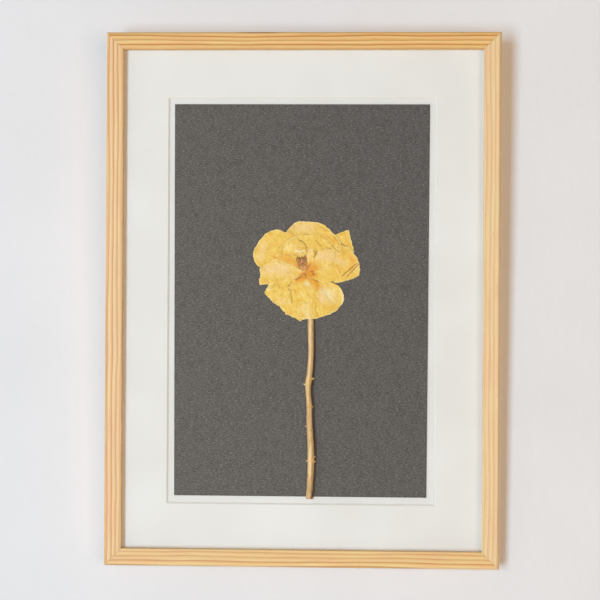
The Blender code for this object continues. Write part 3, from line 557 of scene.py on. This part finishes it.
        olive=[(0.3, 0.4, -14.4, 1.1, -13, 1.4), (0.3, 0.35, -12.1, 0.2, -10.6, 0.5)],
        orange=[(1, 0.9, -8, -3.9, -1.5, 0.2)],
        brown=[(1, 0.6, -3.6, -1.2, -0.4, 0.3)],
        gold=[(1.2, 0.4, -34.4, -5, -20.3, -5.6)])),
}
stemRows = np.array((  # height, middle across, width and thickness, from the cut end up
    (-181, 3.95, 4.3, 3.4), (-169.7, 4.65, 4.8, 3.7), (-158.4, 5.2, 5.4, 4), (-141.4, 5.4, 5.3, 4),
    (-130.1, 4.85, 5.3, 4), (-118.8, 4.2, 5, 3.9), (-106.5, 4.1, 4.7, 3.8), (-95.4, 2.95, 4.5, 3.8),
    (-88.1, 3, 5.2, 4), (-80, 4.05, 4.9, 3.8), (-64.6, 5, 4.6, 3.6), (-48, 4.8, 4.6, 2.9),
    (-36.3, 4.65, 4.6, 1.2), (-24, 4, 4.8, 0.7), (-12, 2.6, 6.2, 0.6), (-4, 0.8, 6.6, 0.5),
))


def smoothLine(knots, count):
    # count + 1 points along a Catmull-Rom curve through the knots:
    # half of 2b + (c - a)t + (2a - 5b + 4c - d)t^2 + (3b - a - 3c + d)t^3 on each span
    knots = np.array(knots, float)
    padded = np.vstack((2 * knots[0] - knots[1], knots, 2 * knots[-1] - knots[-2]))
    along = np.linspace(0, len(knots) - 1, count + 1)
    span = np.minimum(along.astype(int), len(knots) - 2)
    t = (along - span)[:, None]
    a, b, c, d = (padded[span + k] for k in range(4))
    bend, twist = 2 * a - 5 * b + 4 * c - d, 3 * b - a - 3 * c + d
    return 0.5 * (2 * b + (c - a) * t + bend * t ** 2 + twist * t ** 3)


def slide(field, axis, steps):
    index = np.clip(np.arange(field.shape[axis]) + steps, 0, field.shape[axis] - 1)
    return np.take(field, index, axis=axis)


def blur(field, reach):
    for axis in (0, 1):
        field = np.mean([slide(field, axis, s) for s in range(-reach, reach + 1)], axis=0)
    return field


def spread(field):
    for axis in (0, 1):
        field = np.max([slide(field, axis, s) for s in (-1, 0, 1)], axis=0)
    return field


topField = np.zeros(flower["shape"])  # height of what lies on the card so far, on a raster


def rasterPlace(flat):
    return (flat - np.array(flower["low"])) / flower["cell"]


def mixCorners(four, a, b):
    # bilinear: the corners low low, high low, low high and high high of a cell
    return (four[0] * (1 - a) + four[1] * a) * (1 - b) + (four[2] * (1 - a) + four[3] * a) * b


def raiseField(flat, height):
    # lift the raster to a surface given on a grid, filled in four times finer
    flat, height = ((f[:-1, :-1], f[1:, :-1], f[:-1, 1:], f[1:, 1:]) for f in (flat, height))
    for a in (0, 0.25, 0.5, 0.75):
        for b in (0, 0.25, 0.5, 0.75):
            i, j = np.moveaxis(np.round(rasterPlace(mixCorners(flat, a, b))).astype(int), -1, 0)
            np.maximum.at(topField, (i, j), mixCorners(height, a, b))


def drape(flat):
    # a dry sheet rests on the high points: the raster, blurred and lifted back over itself again and again
    need = spread(topField)
    sheet = need
    for _ in range(flower["relax"]):
        sheet = np.maximum(need, blur(sheet, 1))
    sheet = blur(sheet, 1)
    cells = np.clip(rasterPlace(flat), 0, np.array(topField.shape) - 1.001)
    i, j = np.moveaxis(cells.astype(int), -1, 0)
    four = (sheet[i, j], sheet[i + 1, j], sheet[i, j + 1], sheet[i + 1, j + 1])
    return mixCorners(four, cells[..., 0] - i, cells[..., 1] - j)


def petalGrid(petal, across, along):
    # straight ribs from the foot (v = 0) to the free edge (v = 1), swelled sideways by sides * sin(pi v)
    edge = smoothLine(np.reshape(petal["edge"], (-1, 2)), across)[:, None, :]
    chord = edge[-1, 0] - edge[0, 0]
    chord = chord / np.linalg.norm(chord)
    u = np.linspace(0, 1, across + 1)[:, None, None]
    v = np.linspace(0, 1, along + 1)[None, :, None]
    foot = np.array(petal["base"], float) + chord * (u - 0.5) * petal["foot"]
    first, second = petal["sides"]
    swell = (second * u - first * (1 - u)) * np.sin(np.pi * v)
    return foot * (1 - v) + edge * v + chord * swell, u[..., 0], v[..., 0]


def nearLine(flat, line):
    # distance from each point to a line of straight pieces, the least over its pieces
    line = np.reshape(line, (-1, 2))
    best = np.full(flat.shape[:2], 1e9)
    for a, b in zip(line[:-1], line[1:]):
        along = np.clip(((flat - a) @ (b - a)) / max((b - a) @ (b - a), 1e-9), 0, 1)
        best = np.minimum(best, np.linalg.norm(flat - a - along[..., None] * (b - a), axis=2))
    return best


tones = ("gold", "orange", "pink", "pale", "olive", "brown")
creaseDepth = dict(olive=0.22, brown=0.2)  # how deep a dark line is pressed in, in millimetres


def sheetSolid(front, back):
    # a closed sheet from two grids: both faces and a strip round the border
    columns, rows = front.shape[:2]
    count = columns * rows
    faces = gridFaces(columns, rows)
    faces += [tuple(k + count for k in face[::-1]) for face in faces]
    rim = [i * rows for i in range(columns)] + [(columns - 1) * rows + j for j in range(1, rows)]
    rim += [i * rows + rows - 1 for i in range(columns - 2, -1, -1)] + list(range(rows - 2, 0, -1))
    faces += [(here, here + count, there + count, there) for here, there in zip(rim, rim[1:] + rim[:1])]
    return np.concatenate((front.reshape(-1, 3), back.reshape(-1, 3))), faces


def toRow(flat, height):
    # flower millimetres and height above the card to the row frame
    x, z = flat[..., 0] + flower["x"], flat[..., 1] + flower["z"]
    return np.stack((x, flower["card"] - height, z), axis=-1) * mm


def makePetal():
    # pressed rose petal: matte, papery and creamy yellow, golden at the creases and orange at the foot; its
    # pale rims and some of its marks are painted highlight, shade and shadow
    made, shader, add = newMaterial("dried rose petal", Roughness=0.62, Specular_IOR_Level=0.35)
    one = add("Attribute", {"attribute_name": "petalTones"})
    two = add("Attribute", {"attribute_name": "petalMarks"})
    first = add("SeparateColor", {0: one.outputs["Color"]})
    second = add("SeparateColor", {0: two.outputs["Color"]})
    shares = (*first.outputs, one.outputs["Alpha"], *second.outputs[:2])
    spot = add("TexCoord").outputs["Object"]
    cloud = add("TexNoise", {"Vector": spot, "Scale": 170, "Detail": 3, "Roughness": 0.6})
    grain = add("TexNoise", {"Vector": spot, "Scale": 900, "Detail": 2})
    ribs = add("Attribute", {"attribute_name": "petalRibs"}).outputs["Vector"]
    veins = add("TexNoise", {"Vector": ribs, "Scale": 1, "Detail": 2.5})
    mixed = add("ValToRGB", {"ramp": ((0.3, "#E9B53C"), (0.5, "#F3CA58"), (0.7, "#F9DA7E")), "Fac": cloud})
    veinShare = add("MapRange", {"Value": veins, "From Min": 0.52, "From Max": 0.66, "To Max": 0.5})
    mixed = add("Mix", {0: veinShare, 6: mixed, 7: "#E3B045"})
    codes = ("#ECB843", "#EA970C", "#F6D194", "#F9E3AB", "#927024", "#9A5222")
    for share, code in zip(shares, codes):
        mixed = add("Mix", {0: share, 6: mixed, 7: code})
    # painted highlight: a pale rim along every petal edge
    rim = second.outputs[2]
    mixed = add("Mix", {0: rim, 6: mixed, 7: "#FBE7A6"})
    height = add("Math", {"operation": "MULTIPLY_ADD", 0: veins, 1: 0.7, 2: grain})
    bump = add("Bump", {"Strength": 0.5, "Distance": 0.00012, "Height": height})
    setInputs(shader, {"Base Color": mixed, "Normal": bump})
    return made


petalPaper = makePetal()


def layPetal(stand, petal, seed):
    f = flower
    coarse, u, v = petalGrid(petal, 8, 6)
    long = np.linalg.norm(coarse[:, -1] - coarse[:, 0], axis=1).max()
    wide = max(np.linalg.norm(np.diff(coarse[:, -1], axis=0), axis=1).sum(), petal["foot"])
    across, along = int(wide / f["spacing"]) + 6, int(long / f["spacing"]) + 6
    flat, u, v = petalGrid(petal, across, along)
    # the free edge is a little ragged: ripples along it, fading over its last fifth
    shake = petal.get("ragged", f["ragged"]) * ripple(u * wide, 0 * u, seed, f["raggedMm"], 7)
    outwards = (flat[:, -1:] - flat[:, -2:-1])
    outwards = outwards / np.linalg.norm(outwards, axis=2, keepdims=True)
    flat = flat + outwards * (shake * np.clip((v - 0.8) / 0.2, 0, 1) ** 2)[..., None]
    rib = np.linalg.norm(flat[:, -1] - flat[:, 0], axis=1)[:, None]
    width = np.linalg.norm(np.diff(flat, axis=0), axis=2).sum(axis=0)[None, :]
    toEdge = np.minimum((1 - v) * rib, np.minimum(u, 1 - u) * width)
    x, z = flat[..., 0], flat[..., 1]
    tone = {key: np.zeros(x.shape) for key in tones}
    pressed = np.zeros(x.shape)
    for key, marks in petal["marks"].items():
        for broad, strength, *line in marks:
            amount = strength * np.exp(-(nearLine(flat, line) / broad) ** 2)
            tone[key] = 1 - (1 - tone[key]) * (1 - np.clip(amount, 0, 1))
            pressed = np.maximum(pressed, creaseDepth.get(key, 0) * amount)
    if petal.get("claw"):  # the narrow foot is orange
        tone["orange"] = 1 - (1 - tone["orange"]) * (1 - 0.9 * np.exp(-(v * rib / petal["claw"]) ** 2))
    # crumple: broad dry waves with sharp crests, stronger away from the foot
    folds = 1 - np.abs(ripple(x, z, seed + 40, f["foldMm"], 6)) * 0.8
    fine = ripple(x, z, seed + 80, f["fineMm"], 8)
    free = np.clip(v * 3, 0, 1)
    height = drape(flat) + f["gap"] + f["crumple"] * (np.clip(folds, 0, 1) + 0.25 * fine + 0.5) * free
    curl = (0.8 + 0.5 * ripple(x, z, seed + 9, f["curlMm"], 4)).clip(0, 2)
    height = height + f["rimLift"] * curl * np.exp(-(1 - v) * rib / f["rimMm"]) * free
    height = height + creaseDepth["olive"] * np.clip(v * 4, 0, 1) - pressed
    points, faces = sheetSolid(toRow(flat, height + f["thick"]), toRow(flat, height))
    uneven = (0.75 + 0.35 * ripple(x, z, seed + 5, 6, 4)).clip(0, 1)
    # a pale rim within about half a millimetre of every edge, a painted highlight where the edges catch the
    # light
    edge = np.exp(-(toEdge / 0.5) ** 2) * petal.get("rim", 1) * uneven
    first = np.stack([tone[key] for key in tones[:4]], axis=2).reshape(-1, 4)
    second = np.stack((tone["olive"], tone["brown"], edge, edge), axis=2).reshape(-1, 4)
    ribs = np.stack((u * wide * 0.9 + seed * 17 + 0 * v, v * rib * 0.07, 0 * v * u), axis=2).reshape(-1, 3)
    words = stand.split("_")[1:]
    name = words[0] + "".join(word.title() for word in words[1:]) + "Petal"
    piece = addMesh(name, points, faces, petalPaper, 55, {
        "petalTones": np.tile(first, (2, 1)), "petalMarks": np.tile(second, (2, 1)),
        "petalRibs": np.tile(ribs, (2, 1))})
    raiseField(flat, height + f["thick"])
    register(piece, "petal", stand)


def makeBark():
    # dried rose stem, partly peeled: tan wood with pale and brown streaks along it and darker nodes; painted
    # shade, a near-black painted shadow strip and a painted highlight come in through the tone attribute
    made, shader, add = newMaterial("dried rose stem", Roughness=0.6, Specular_IOR_Level=0.4)
    spot = add("TexCoord").outputs["Object"]
    long = add("Mapping", {"Vector": spot, "Scale": (1500, 1500, 75)})
    streak = add("TexNoise", {"Vector": long, "Scale": 1, "Detail": 4, "Roughness": 0.6})
    colour = add("ValToRGB", {"Fac": streak, "ramp": (
        (0.28, "#9C7038"), (0.44, "#C49458"), (0.56, "#DBB075"), (0.72, "#EEC993"))})
    patch = add("Mapping", {"Vector": spot, "Scale": (420, 420, 110)})
    patch = add("TexNoise", {"Vector": patch, "Scale": 1, "Detail": 3})
    worn = add("MapRange", {"Value": patch, "From Min": 0.48, "From Max": 0.64, "To Max": 0.75})
    mixed = add("Mix", {0: worn, 6: colour, 7: "#B4854C"})
    tones = add("Attribute", {"attribute_name": "barkTones"})
    parts = add("SeparateColor", {0: tones.outputs["Color"]})
    # the last colour, near black, is a painted shadow strip; the first also paints shade over the right side
    codes = ("#8A6230", "#D6A042", "#FBDDA8", "#140C06")
    for socket, code in zip((*parts.outputs, tones.outputs["Alpha"]), codes):
        mixed = add("Mix", {0: socket, 6: mixed, 7: code})
    bump = add("Bump", {"Strength": 0.6, "Distance": 0.0002, "Height": streak})
    setInputs(shader, {"Base Color": mixed, "Normal": bump})
    return made


bark = makeBark()
stemLook = dict(rings=430, sides=64, ridge=0.035, pimple=0.02, skin=0.9, lift=0.3, end=0.15, prickleRings=9,
                prickleSides=12)
stemKnots = (  # height, breadth and swelling
    (-87, 2.6, 0.08), (-106, 1, 0.08), (-84, 1.2, 0.05), (-149.8, 1.6, 0.05), (-107.1, 0.5, -0.06))
goldNodes = ((-86, 3), (-106.4, 0.9), (-149.5, 2))  # height and breadth
scar = (-107.3, 0.35, 0.6)  # height, breadth and strength of the dark ring under a node
# height and strength of the pale streak on the left side: a peeled streak, partly a painted highlight
palePeelAndHighlight = ((-180, 0.1), (-168, 0.4), (-160, 1), (-142, 1), (-134, 0.4), (-112, 0.25), (-75, 1))
prickles = (  # height, side, length, foot radius and tone (0 yellow brown, 1 pale)
    (-89.2, -1, 2.4, 0.9, 1), (-84.3, 1, 1.8, 0.8, 0.3), (-122.8, -1, 2, 0.7, 1),
    (-151, 1, 1.1, 0.7, 0.7), (-150.9, -1, 2, 0.7, 1), (-147.2, 1, 0.9, 0.7, 0.5),
    (-106.6, 1, 0.7, 0.7, 0.2))
stemSpots = (  # height, angle, size and strength of brown spots
    (-125.8, 80, 0.8, 0.9), (-162.2, 160, 1.4, 1), (-106, 100, 1.3, 0.5), (-62, 150, 0.5, 0.8),
    (-86.5, 70, 1.2, 0.35), (-113, 60, 0.5, 0.5))


def addStem():
    # an oval tube: x = aside + w/2 r cos a, height = t/2 (1 + r sin a), where r = 1 + ridges + knots;
    # each prickle is a cone bent upwards, its foot inside the tube
    s = stemLook
    rows = smoothLine(stemRows, s["rings"] - 1)
    angle = circle(s["sides"])[None, :]
    high, aside, wide, thick = (rows[:, k][:, None] for k in range(4))
    aside, wide = aside + s["skin"] / 2, wide + s["skin"]  # widened to carry a near-black painted shadow strip along its shaded right side
    turnX, turnZ = 3 * np.cos(angle), 3 * np.sin(angle)
    ridge = ripple(turnX * 3.1 + 0.05 * high, turnZ * 3.1 - 0.03 * high, 3, 2.2, 9)
    slow = ripple(turnX + 0 * high, high * 0.5 + turnZ, 5, 7, 8)
    knots = sum(k * np.exp(-((high - h) / w) ** 2) for h, w, k in stemKnots)
    firm = np.clip((-22 - high) / 12, 0.15, 1)
    r = 1 + firm * (s["ridge"] * ridge + s["pimple"] * slow + knots)
    x = aside + wide / 2 * r * np.cos(angle)
    up = s["lift"] + thick / 2 * (1 + np.clip(r * np.sin(angle), -1, 1.12))
    flat = np.stack((x, high + 0 * angle + s["end"] * ridge * (high < rows[2, 0])), axis=2)
    count, sides = len(rows), s["sides"]
    faces = tubeFaces(count, sides)
    caps = np.stack([toRow(np.array([row[1], row[0] + bulge]), s["lift"] + row[3] / 2)
                     for row, bulge in ((rows[0], -s["end"]), (rows[-1], 4 * s["end"]))])
    first = count * sides  # the two points that close the ends
    faces += [(first, (i + 1) % sides, i) for i in range(sides)]
    faces += [(first + 1, first - sides + i, first - sides + (i + 1) % sides) for i in range(sides)]
    tone = np.zeros((count, sides, 4))
    for h, a, size, strength in stemSpots:
        away = ((high - h) / size) ** 2 + ((angle - math.radians(a)) * 2.4 / size) ** 2
        tone[..., 0] = np.maximum(tone[..., 0], strength * np.exp(-away))
    tone[..., 1] = 0.8 * np.clip(sum(np.exp(-((high - h) / w) ** 2) for h, w in goldNodes), 0, 1)
    tone[..., 0] = np.maximum(tone[..., 0], scar[2] * np.exp(-((high - scar[0]) / scar[1]) ** 2))
    across = np.cos(angle)  # the peeled left side is paler, partly a painted highlight; the right side, turned from the lamp, gets painted shade and a painted shadow strip
    # partly painted highlight: the pale streak lies on the side facing the lamp
    tone[..., 2] = 0.75 * np.clip(1.3 - 2.6 * np.abs(across + 0.4), 0, 1) * np.interp(high, *zip(*palePeelAndHighlight))
    # painted shade: brown over the side turned away from the lamp
    tone[..., 0] = np.maximum(tone[..., 0], 0.55 * np.clip((across - 0.05) / 0.4, 0, 1))
    # painted shadow: a near-black strip along the right edge, standing for the stem's shadow on the card
    tone[..., 3] = np.clip((across - 0.56 - 0.06 * ridge) / 0.1, 0, 1)
    points, colours = [toRow(flat, up).reshape(-1, 3), caps], [tone.reshape(-1, 4), np.zeros((2, 4))]
    start = first + 2
    rings, around = s["prickleRings"], s["prickleSides"]
    for h, side, reach, foot, pale in prickles:
        aside, wide, thick = (np.interp(h, rows[:, 0], rows[:, k]) for k in (1, 2, 3))
        t = np.linspace(0, 1, rings)[:, None]
        a = circle(around)[None, :]
        radius = foot * (1 - t) ** 1.6 + 0.06 * (1 - t)
        px = aside + s["skin"] / 2 + side * (wide * 0.36 + t * (wide * 0.2 + reach)) + 0 * a
        pz = h + 1.7 * radius * np.cos(a) + 0.45 * reach * t ** 2
        # on the shaded right side it starts on top of the painted shadow strip
        above = 0.3 * t if side < 0 else 0.3 * thick * (1 - 0.6 * t)
        py = s["lift"] + thick / 2 + 0.8 * radius * np.sin(a) + above
        cone = toRow(np.stack((px, pz), axis=2), py).reshape(-1, 3)
        tip, rim = start + len(cone), start + len(cone) - around
        shell = tubeFaces(rings, around, start) + [tuple(range(start, start + around))[::-1]]
        shell += [(rim + k, rim + (k + 1) % around, tip) for k in range(around)]
        faces += [face[::-1] if side > 0 else face for face in shell]
        points += [cone, cone[-around:].mean(axis=0)[None, :]]
        shade = np.zeros((len(cone) + 1, 4))
        shade[:, 1], shade[:, 2] = 1 - pale, pale * 0.9
        colours.append(shade)
        start = tip + 1
    attributes = {"barkTones": np.concatenate(colours)}
    piece = addMesh("driedStem", np.concatenate(points), faces, bark, 60, attributes)
    # raise the raster to its top where it runs under the flower
    inside = (high[:, 0] > flower["low"][1] + 1)
    raiseField(flat[inside], up[inside])
    register(piece, "stem", "stem")


def makeStamens():
    # dried filaments and anthers: red brown and grey brown threads over a tan, felted bundle of styles
    made, shader, add = newMaterial("dried stamens", Roughness=0.8, Specular_IOR_Level=0.25)
    share = add("Attribute", {"attribute_name": "threadTone"}).outputs["Fac"]
    colour = add("ValToRGB", {"Fac": share, "ramp": (
        (0, "#EFBE78"), (0.3, "#DD9C52"), (0.45, "#C06A28"), (0.6, "#A98F70"), (0.8, "#96481C"),
        (1, "#4A3012"))})
    spot = add("TexCoord").outputs["Object"]
    speck = add("TexNoise", {"Vector": spot, "Scale": 1800, "Detail": 2})
    tone = add("MapRange", {"Value": speck, "From Min": 0.3, "From Max": 0.7, "To Min": 0.75, "To Max": 1.15})
    mixed = add("VectorMath", {"operation": "SCALE", 0: colour, 3: tone})
    bump = add("Bump", {"Strength": 0.5, "Distance": 0.0001, "Height": speck})
    setInputs(shader, {"Base Color": mixed, "Normal": bump})
    return made


stamens = makeStamens()
tuft = dict(base=(-1.2, 2), count=220, stations=10, sides=6, thread=0.17, seed=11, tips=(6.6, 14.8), bend=2.2,
            gap=0.2, lift=(0.05, 0.9), anther=2.6, antherAt=0.93, mound=1.2)


def addTuft():
    # threads fan up from the base: each is a quadratic curve foot + (tip - foot) t + bend t (1 - t), a tube
    # thinning to 0.7, with a round anther at its tip; the fan narrows at the foot like a brush
    k = tuft
    rng = np.random.default_rng(k["seed"])
    n = k["count"]
    spreadX = rng.uniform(-1, 1, n)
    tipZ = rng.uniform(*k["tips"], n) + 1.2 * spreadX
    tip = np.stack((-1 - 0.17 * tipZ + spreadX * (1.6 + 0.2 * tipZ), tipZ), axis=1)
    foot = np.array(k["base"]) + np.stack((spreadX * 1.1, rng.uniform(-0.9, 0.9, n)), axis=1)
    t = np.linspace(0, 1, k["stations"])[None, :, None]
    bend = rng.normal(0, k["bend"], (n, 1, 2))
    path = foot[:, None] + (tip - foot)[:, None] * t + bend * t * (1 - t)
    height = drape(path) + k["gap"] + rng.uniform(*k["lift"], (n, 1)) * (0.3 + 0.7 * t[..., 0])
    a = circle(k["sides"])[None, None, :]
    radius = k["thread"] * (1 - 0.3 * t) * rng.uniform(0.8, 1.3, (n, 1, 1))
    swell = 1 + k["anther"] * np.exp(-((t - k["antherAt"]) / 0.08) ** 2) * rng.uniform(0.3, 1.3, (n, 1, 1))
    along = np.gradient(path, axis=1)
    along = along / np.linalg.norm(along, axis=2, keepdims=True)
    side = np.stack((along[..., 1], -along[..., 0]), axis=2)
    radius = radius * swell
    radius[:, -1] *= 0.3
    radius[:, 0] *= 0.5
    flat = path[:, :, None, :] + side[:, :, None, :] * (radius * np.cos(a))[..., None]
    up = height[:, :, None] + radius * np.sin(a)
    points = toRow(flat, up).reshape(-1, 3)
    stations, sides = k["stations"], k["sides"]
    one = tubeFaces(stations, sides) + endFaces(stations, sides)
    faces = [tuple(v + stations * sides * m for v in face) for m in range(n) for face in one]
    isAnther = np.clip((t[..., 0] - 0.78) / 0.1, 0, 1)
    tone = rng.uniform(0, 0.42, (n, 1)) * (1 - isAnther) + rng.uniform(0.15, 1, (n, 1)) * isAnther
    tone = np.repeat(tone[:, :, None], sides, axis=2)
    piece = addMesh("stamenBrush", points, faces, stamens, 60, {"threadTone": tone.reshape(-1)})
    # the raster takes the brush as a soft mound
    x = flower["low"][0] + flower["cell"] * np.arange(flower["shape"][0])[:, None]
    z = flower["low"][1] + flower["cell"] * np.arange(flower["shape"][1])[None, :]
    mound = np.exp(-((x + 2.6) / 3.2) ** 4 - ((z - 8) / 6) ** 4)
    topField[mound > 0.5] += k["mound"]
    register(piece, "stamens", "stamen_tuft")


addStem()
for number, (stand, petal) in enumerate(petals.items()):
    if stand == "petal_inner_small":  # this one lies over the stamens
        addTuft()
    layPetal(stand, petal, flower["seed"] + number)
    print(stand, "laid, highest", round(float(topField.max()), 2), "mm")
print("rose laid")


def makeWall(name, colour, roughness, glow=0, oneSided=False):
    # painted plaster, rolled: nearly even, with a shallow orange-peel surface
    made, shader, add = newMaterial(name, Roughness=roughness, Specular_IOR_Level=0.2)
    spot = add("TexCoord").outputs["Object"]
    peel = add("TexNoise", {"Vector": spot, "Scale": 130, "Detail": 4})
    slow = add("TexNoise", {"Vector": spot, "Scale": 9, "Detail": 2})
    shade = add("MapRange", {"Value": slow, "From Min": 0.3, "From Max": 0.7, "To Min": 0.975,
                             "To Max": 1.01})
    mixed = add("VectorMath", {"operation": "SCALE", 0: toLinear(colour)[:3], 3: shade})
    bump = add("Bump", {"Strength": 0.5, "Distance": 0.0009, "Height": peel})
    # the floor is far below the lamps, so it glows a little
    setInputs(shader, {"Base Color": mixed, "Normal": bump, "Emission Color": colour,
                       "Emission Strength": glow})
    if oneSided:
        # clear from behind, so that the back of the frame can be looked at through the wall
        facing = add("NewGeometry").outputs["Backfacing"]
        both = add("MixShader", {0: facing, 1: shader, 2: add("BsdfTransparent")})
        setInputs(made.node_tree.nodes["Material Output"], {"Surface": both})
    return made


room = dict(wallWide=1.3, wallTop=0.5, lean=2.3, gap=0.0012, footZ=-0.4228, floorZ=-1.3,
            floorX=(-3, 3), floorY=(-3.5, 2.5), wall="#E6E6E7", wallRough=0.85, floor="#E9E8E6",
            floorRough=0.6, floorGlow=0.45)


def addRoom():
    # the wall leans back from the frame's lower edge, where there is a small gap; the floor is far below
    lean = math.tan(math.radians(room["lean"]))
    wide, top, bottom = room["wallWide"] / 2, room["wallTop"], room["floorZ"]
    wallCorners = [(x, room["gap"] + (z - room["footZ"]) * lean, z)
                   for x, z in ((-wide, bottom), (wide, bottom), (wide, top), (-wide, top))]
    (left, right), (near, far) = room["floorX"], room["floorY"]
    floorCorners = [(left, near, bottom), (right, near, bottom), (right, far, bottom), (left, far, bottom)]
    wallPaint = makeWall("rolled wall paint", room["wall"], room["wallRough"], oneSided=True)
    floorPaint = makeWall("pale floor", room["floor"], room["floorRough"], glow=room["floorGlow"])
    sheets = []
    for name, corners, paint in (("wall", wallCorners, wallPaint), ("floor", floorCorners, floorPaint)):
        mesh = bpy.data.meshes.new(name)
        mesh.from_pydata(corners, [], [(0, 1, 2, 3)])
        mesh.materials.append(paint)
        sheets.append(addObject(name, mesh))
    wall, floor = sheets
    wall.visible_shadow = wall.visible_diffuse = wall.visible_glossy = wall.visible_transmission = False
    floor.visible_diffuse = False


addRoom()

lamps = dict(  # place, size across and up, watts, colour; each looks at the middle of the frame
    key=((-0.835, -2.2, -0.35), (0.5, 1.2), 40, "#C9E8FF"),
    fill=((1.05, -2.2, -0.3), (1.2, 1.2), 18, "#FFDCBA"),
    rear=((-1.2, 1.9, 0.6), (1.2, 1.2), 32, "#FFFFFF"),
    rearFill=((1.6, 1.8, -0.4), (1.5, 1.5), 20, "#FFFFFF"),
)
for name, (spot, size, watts, colour) in lamps.items():
    lamp = bpy.data.lights.new(name, "AREA")
    lamp.shape = "RECTANGLE"
    lamp.size, lamp.size_y = size
    lamp.energy, lamp.color = watts, toLinear(colour)[:3]
    made = addObject(name, lamp)
    made.location = spot
    made.rotation_mode = "QUATERNION"
    made.rotation_quaternion = (Vector(spot) - Vector((0, 0, centreZ))).to_track_quat("Z", "Y")

world = bpy.data.worlds.new("soft studio")
world.use_nodes = True
sky = world.node_tree
around = addNode(sky, "TexCoord").outputs["Generated"]
sideways = addNode(sky, "VectorMath", {"operation": "DOT_PRODUCT", 0: around, 1: (1, 0, 0.42)})
# the side of the room that the window is on is brighter
glow = addNode(sky, "MapRange", {"interpolation_type": "SMOOTHSTEP", "Value": sideways, "From Min": -0.28,
                                 "From Max": 0.18, "To Min": 0.6, "To Max": 0.19})
setInputs(sky.nodes["Background"], {"Color": "#FFE4C8", "Strength": glow})
# looked at directly, past the edge of the wall, the room is plain and pale
backdrop = addNode(sky, "Background", {"Color": "#E2E1DF", "Strength": 1})
direct = addNode(sky, "LightPath").outputs["Is Camera Ray"]
seen = addNode(sky, "MixShader", {0: direct, 1: sky.nodes["Background"], 2: backdrop})
setInputs(sky.nodes["World Output"], {"Surface": seen})
scene = bpy.context.scene
scene.world = world
scene.view_settings.view_transform = "Standard"

camera = dict(spot=(0.0337, -1.0732, centreZ - 0.0025), yaw=1.913, pitch=0.118, roll=0.31, lens=78.8,
              sensor=36)


def addCamera():
    yaw, pitch, roll = (math.radians(camera[k]) for k in ("yaw", "pitch", "roll"))
    forward = np.array((-math.sin(yaw) * math.cos(pitch), math.cos(yaw) * math.cos(pitch), math.sin(pitch)))
    right = np.array((math.cos(yaw), math.sin(yaw), 0))
    up = np.cross(right, forward)
    turnedRight = math.cos(roll) * right + math.sin(roll) * up
    turnedUp = math.cos(roll) * up - math.sin(roll) * right
    data = bpy.data.cameras.new("camera")
    data.lens, data.sensor_width = camera["lens"], camera["sensor"]
    data.clip_start, data.clip_end = 0.01, 20
    turn = Matrix(np.stack((turnedRight, turnedUp, -forward), axis=1).tolist())
    scene.camera = addObject("camera", data)
    scene.camera.matrix_world = Matrix.Translation(camera["spot"]) @ turn.to_4x4()


addCamera()
print("room, lamps and camera placed")
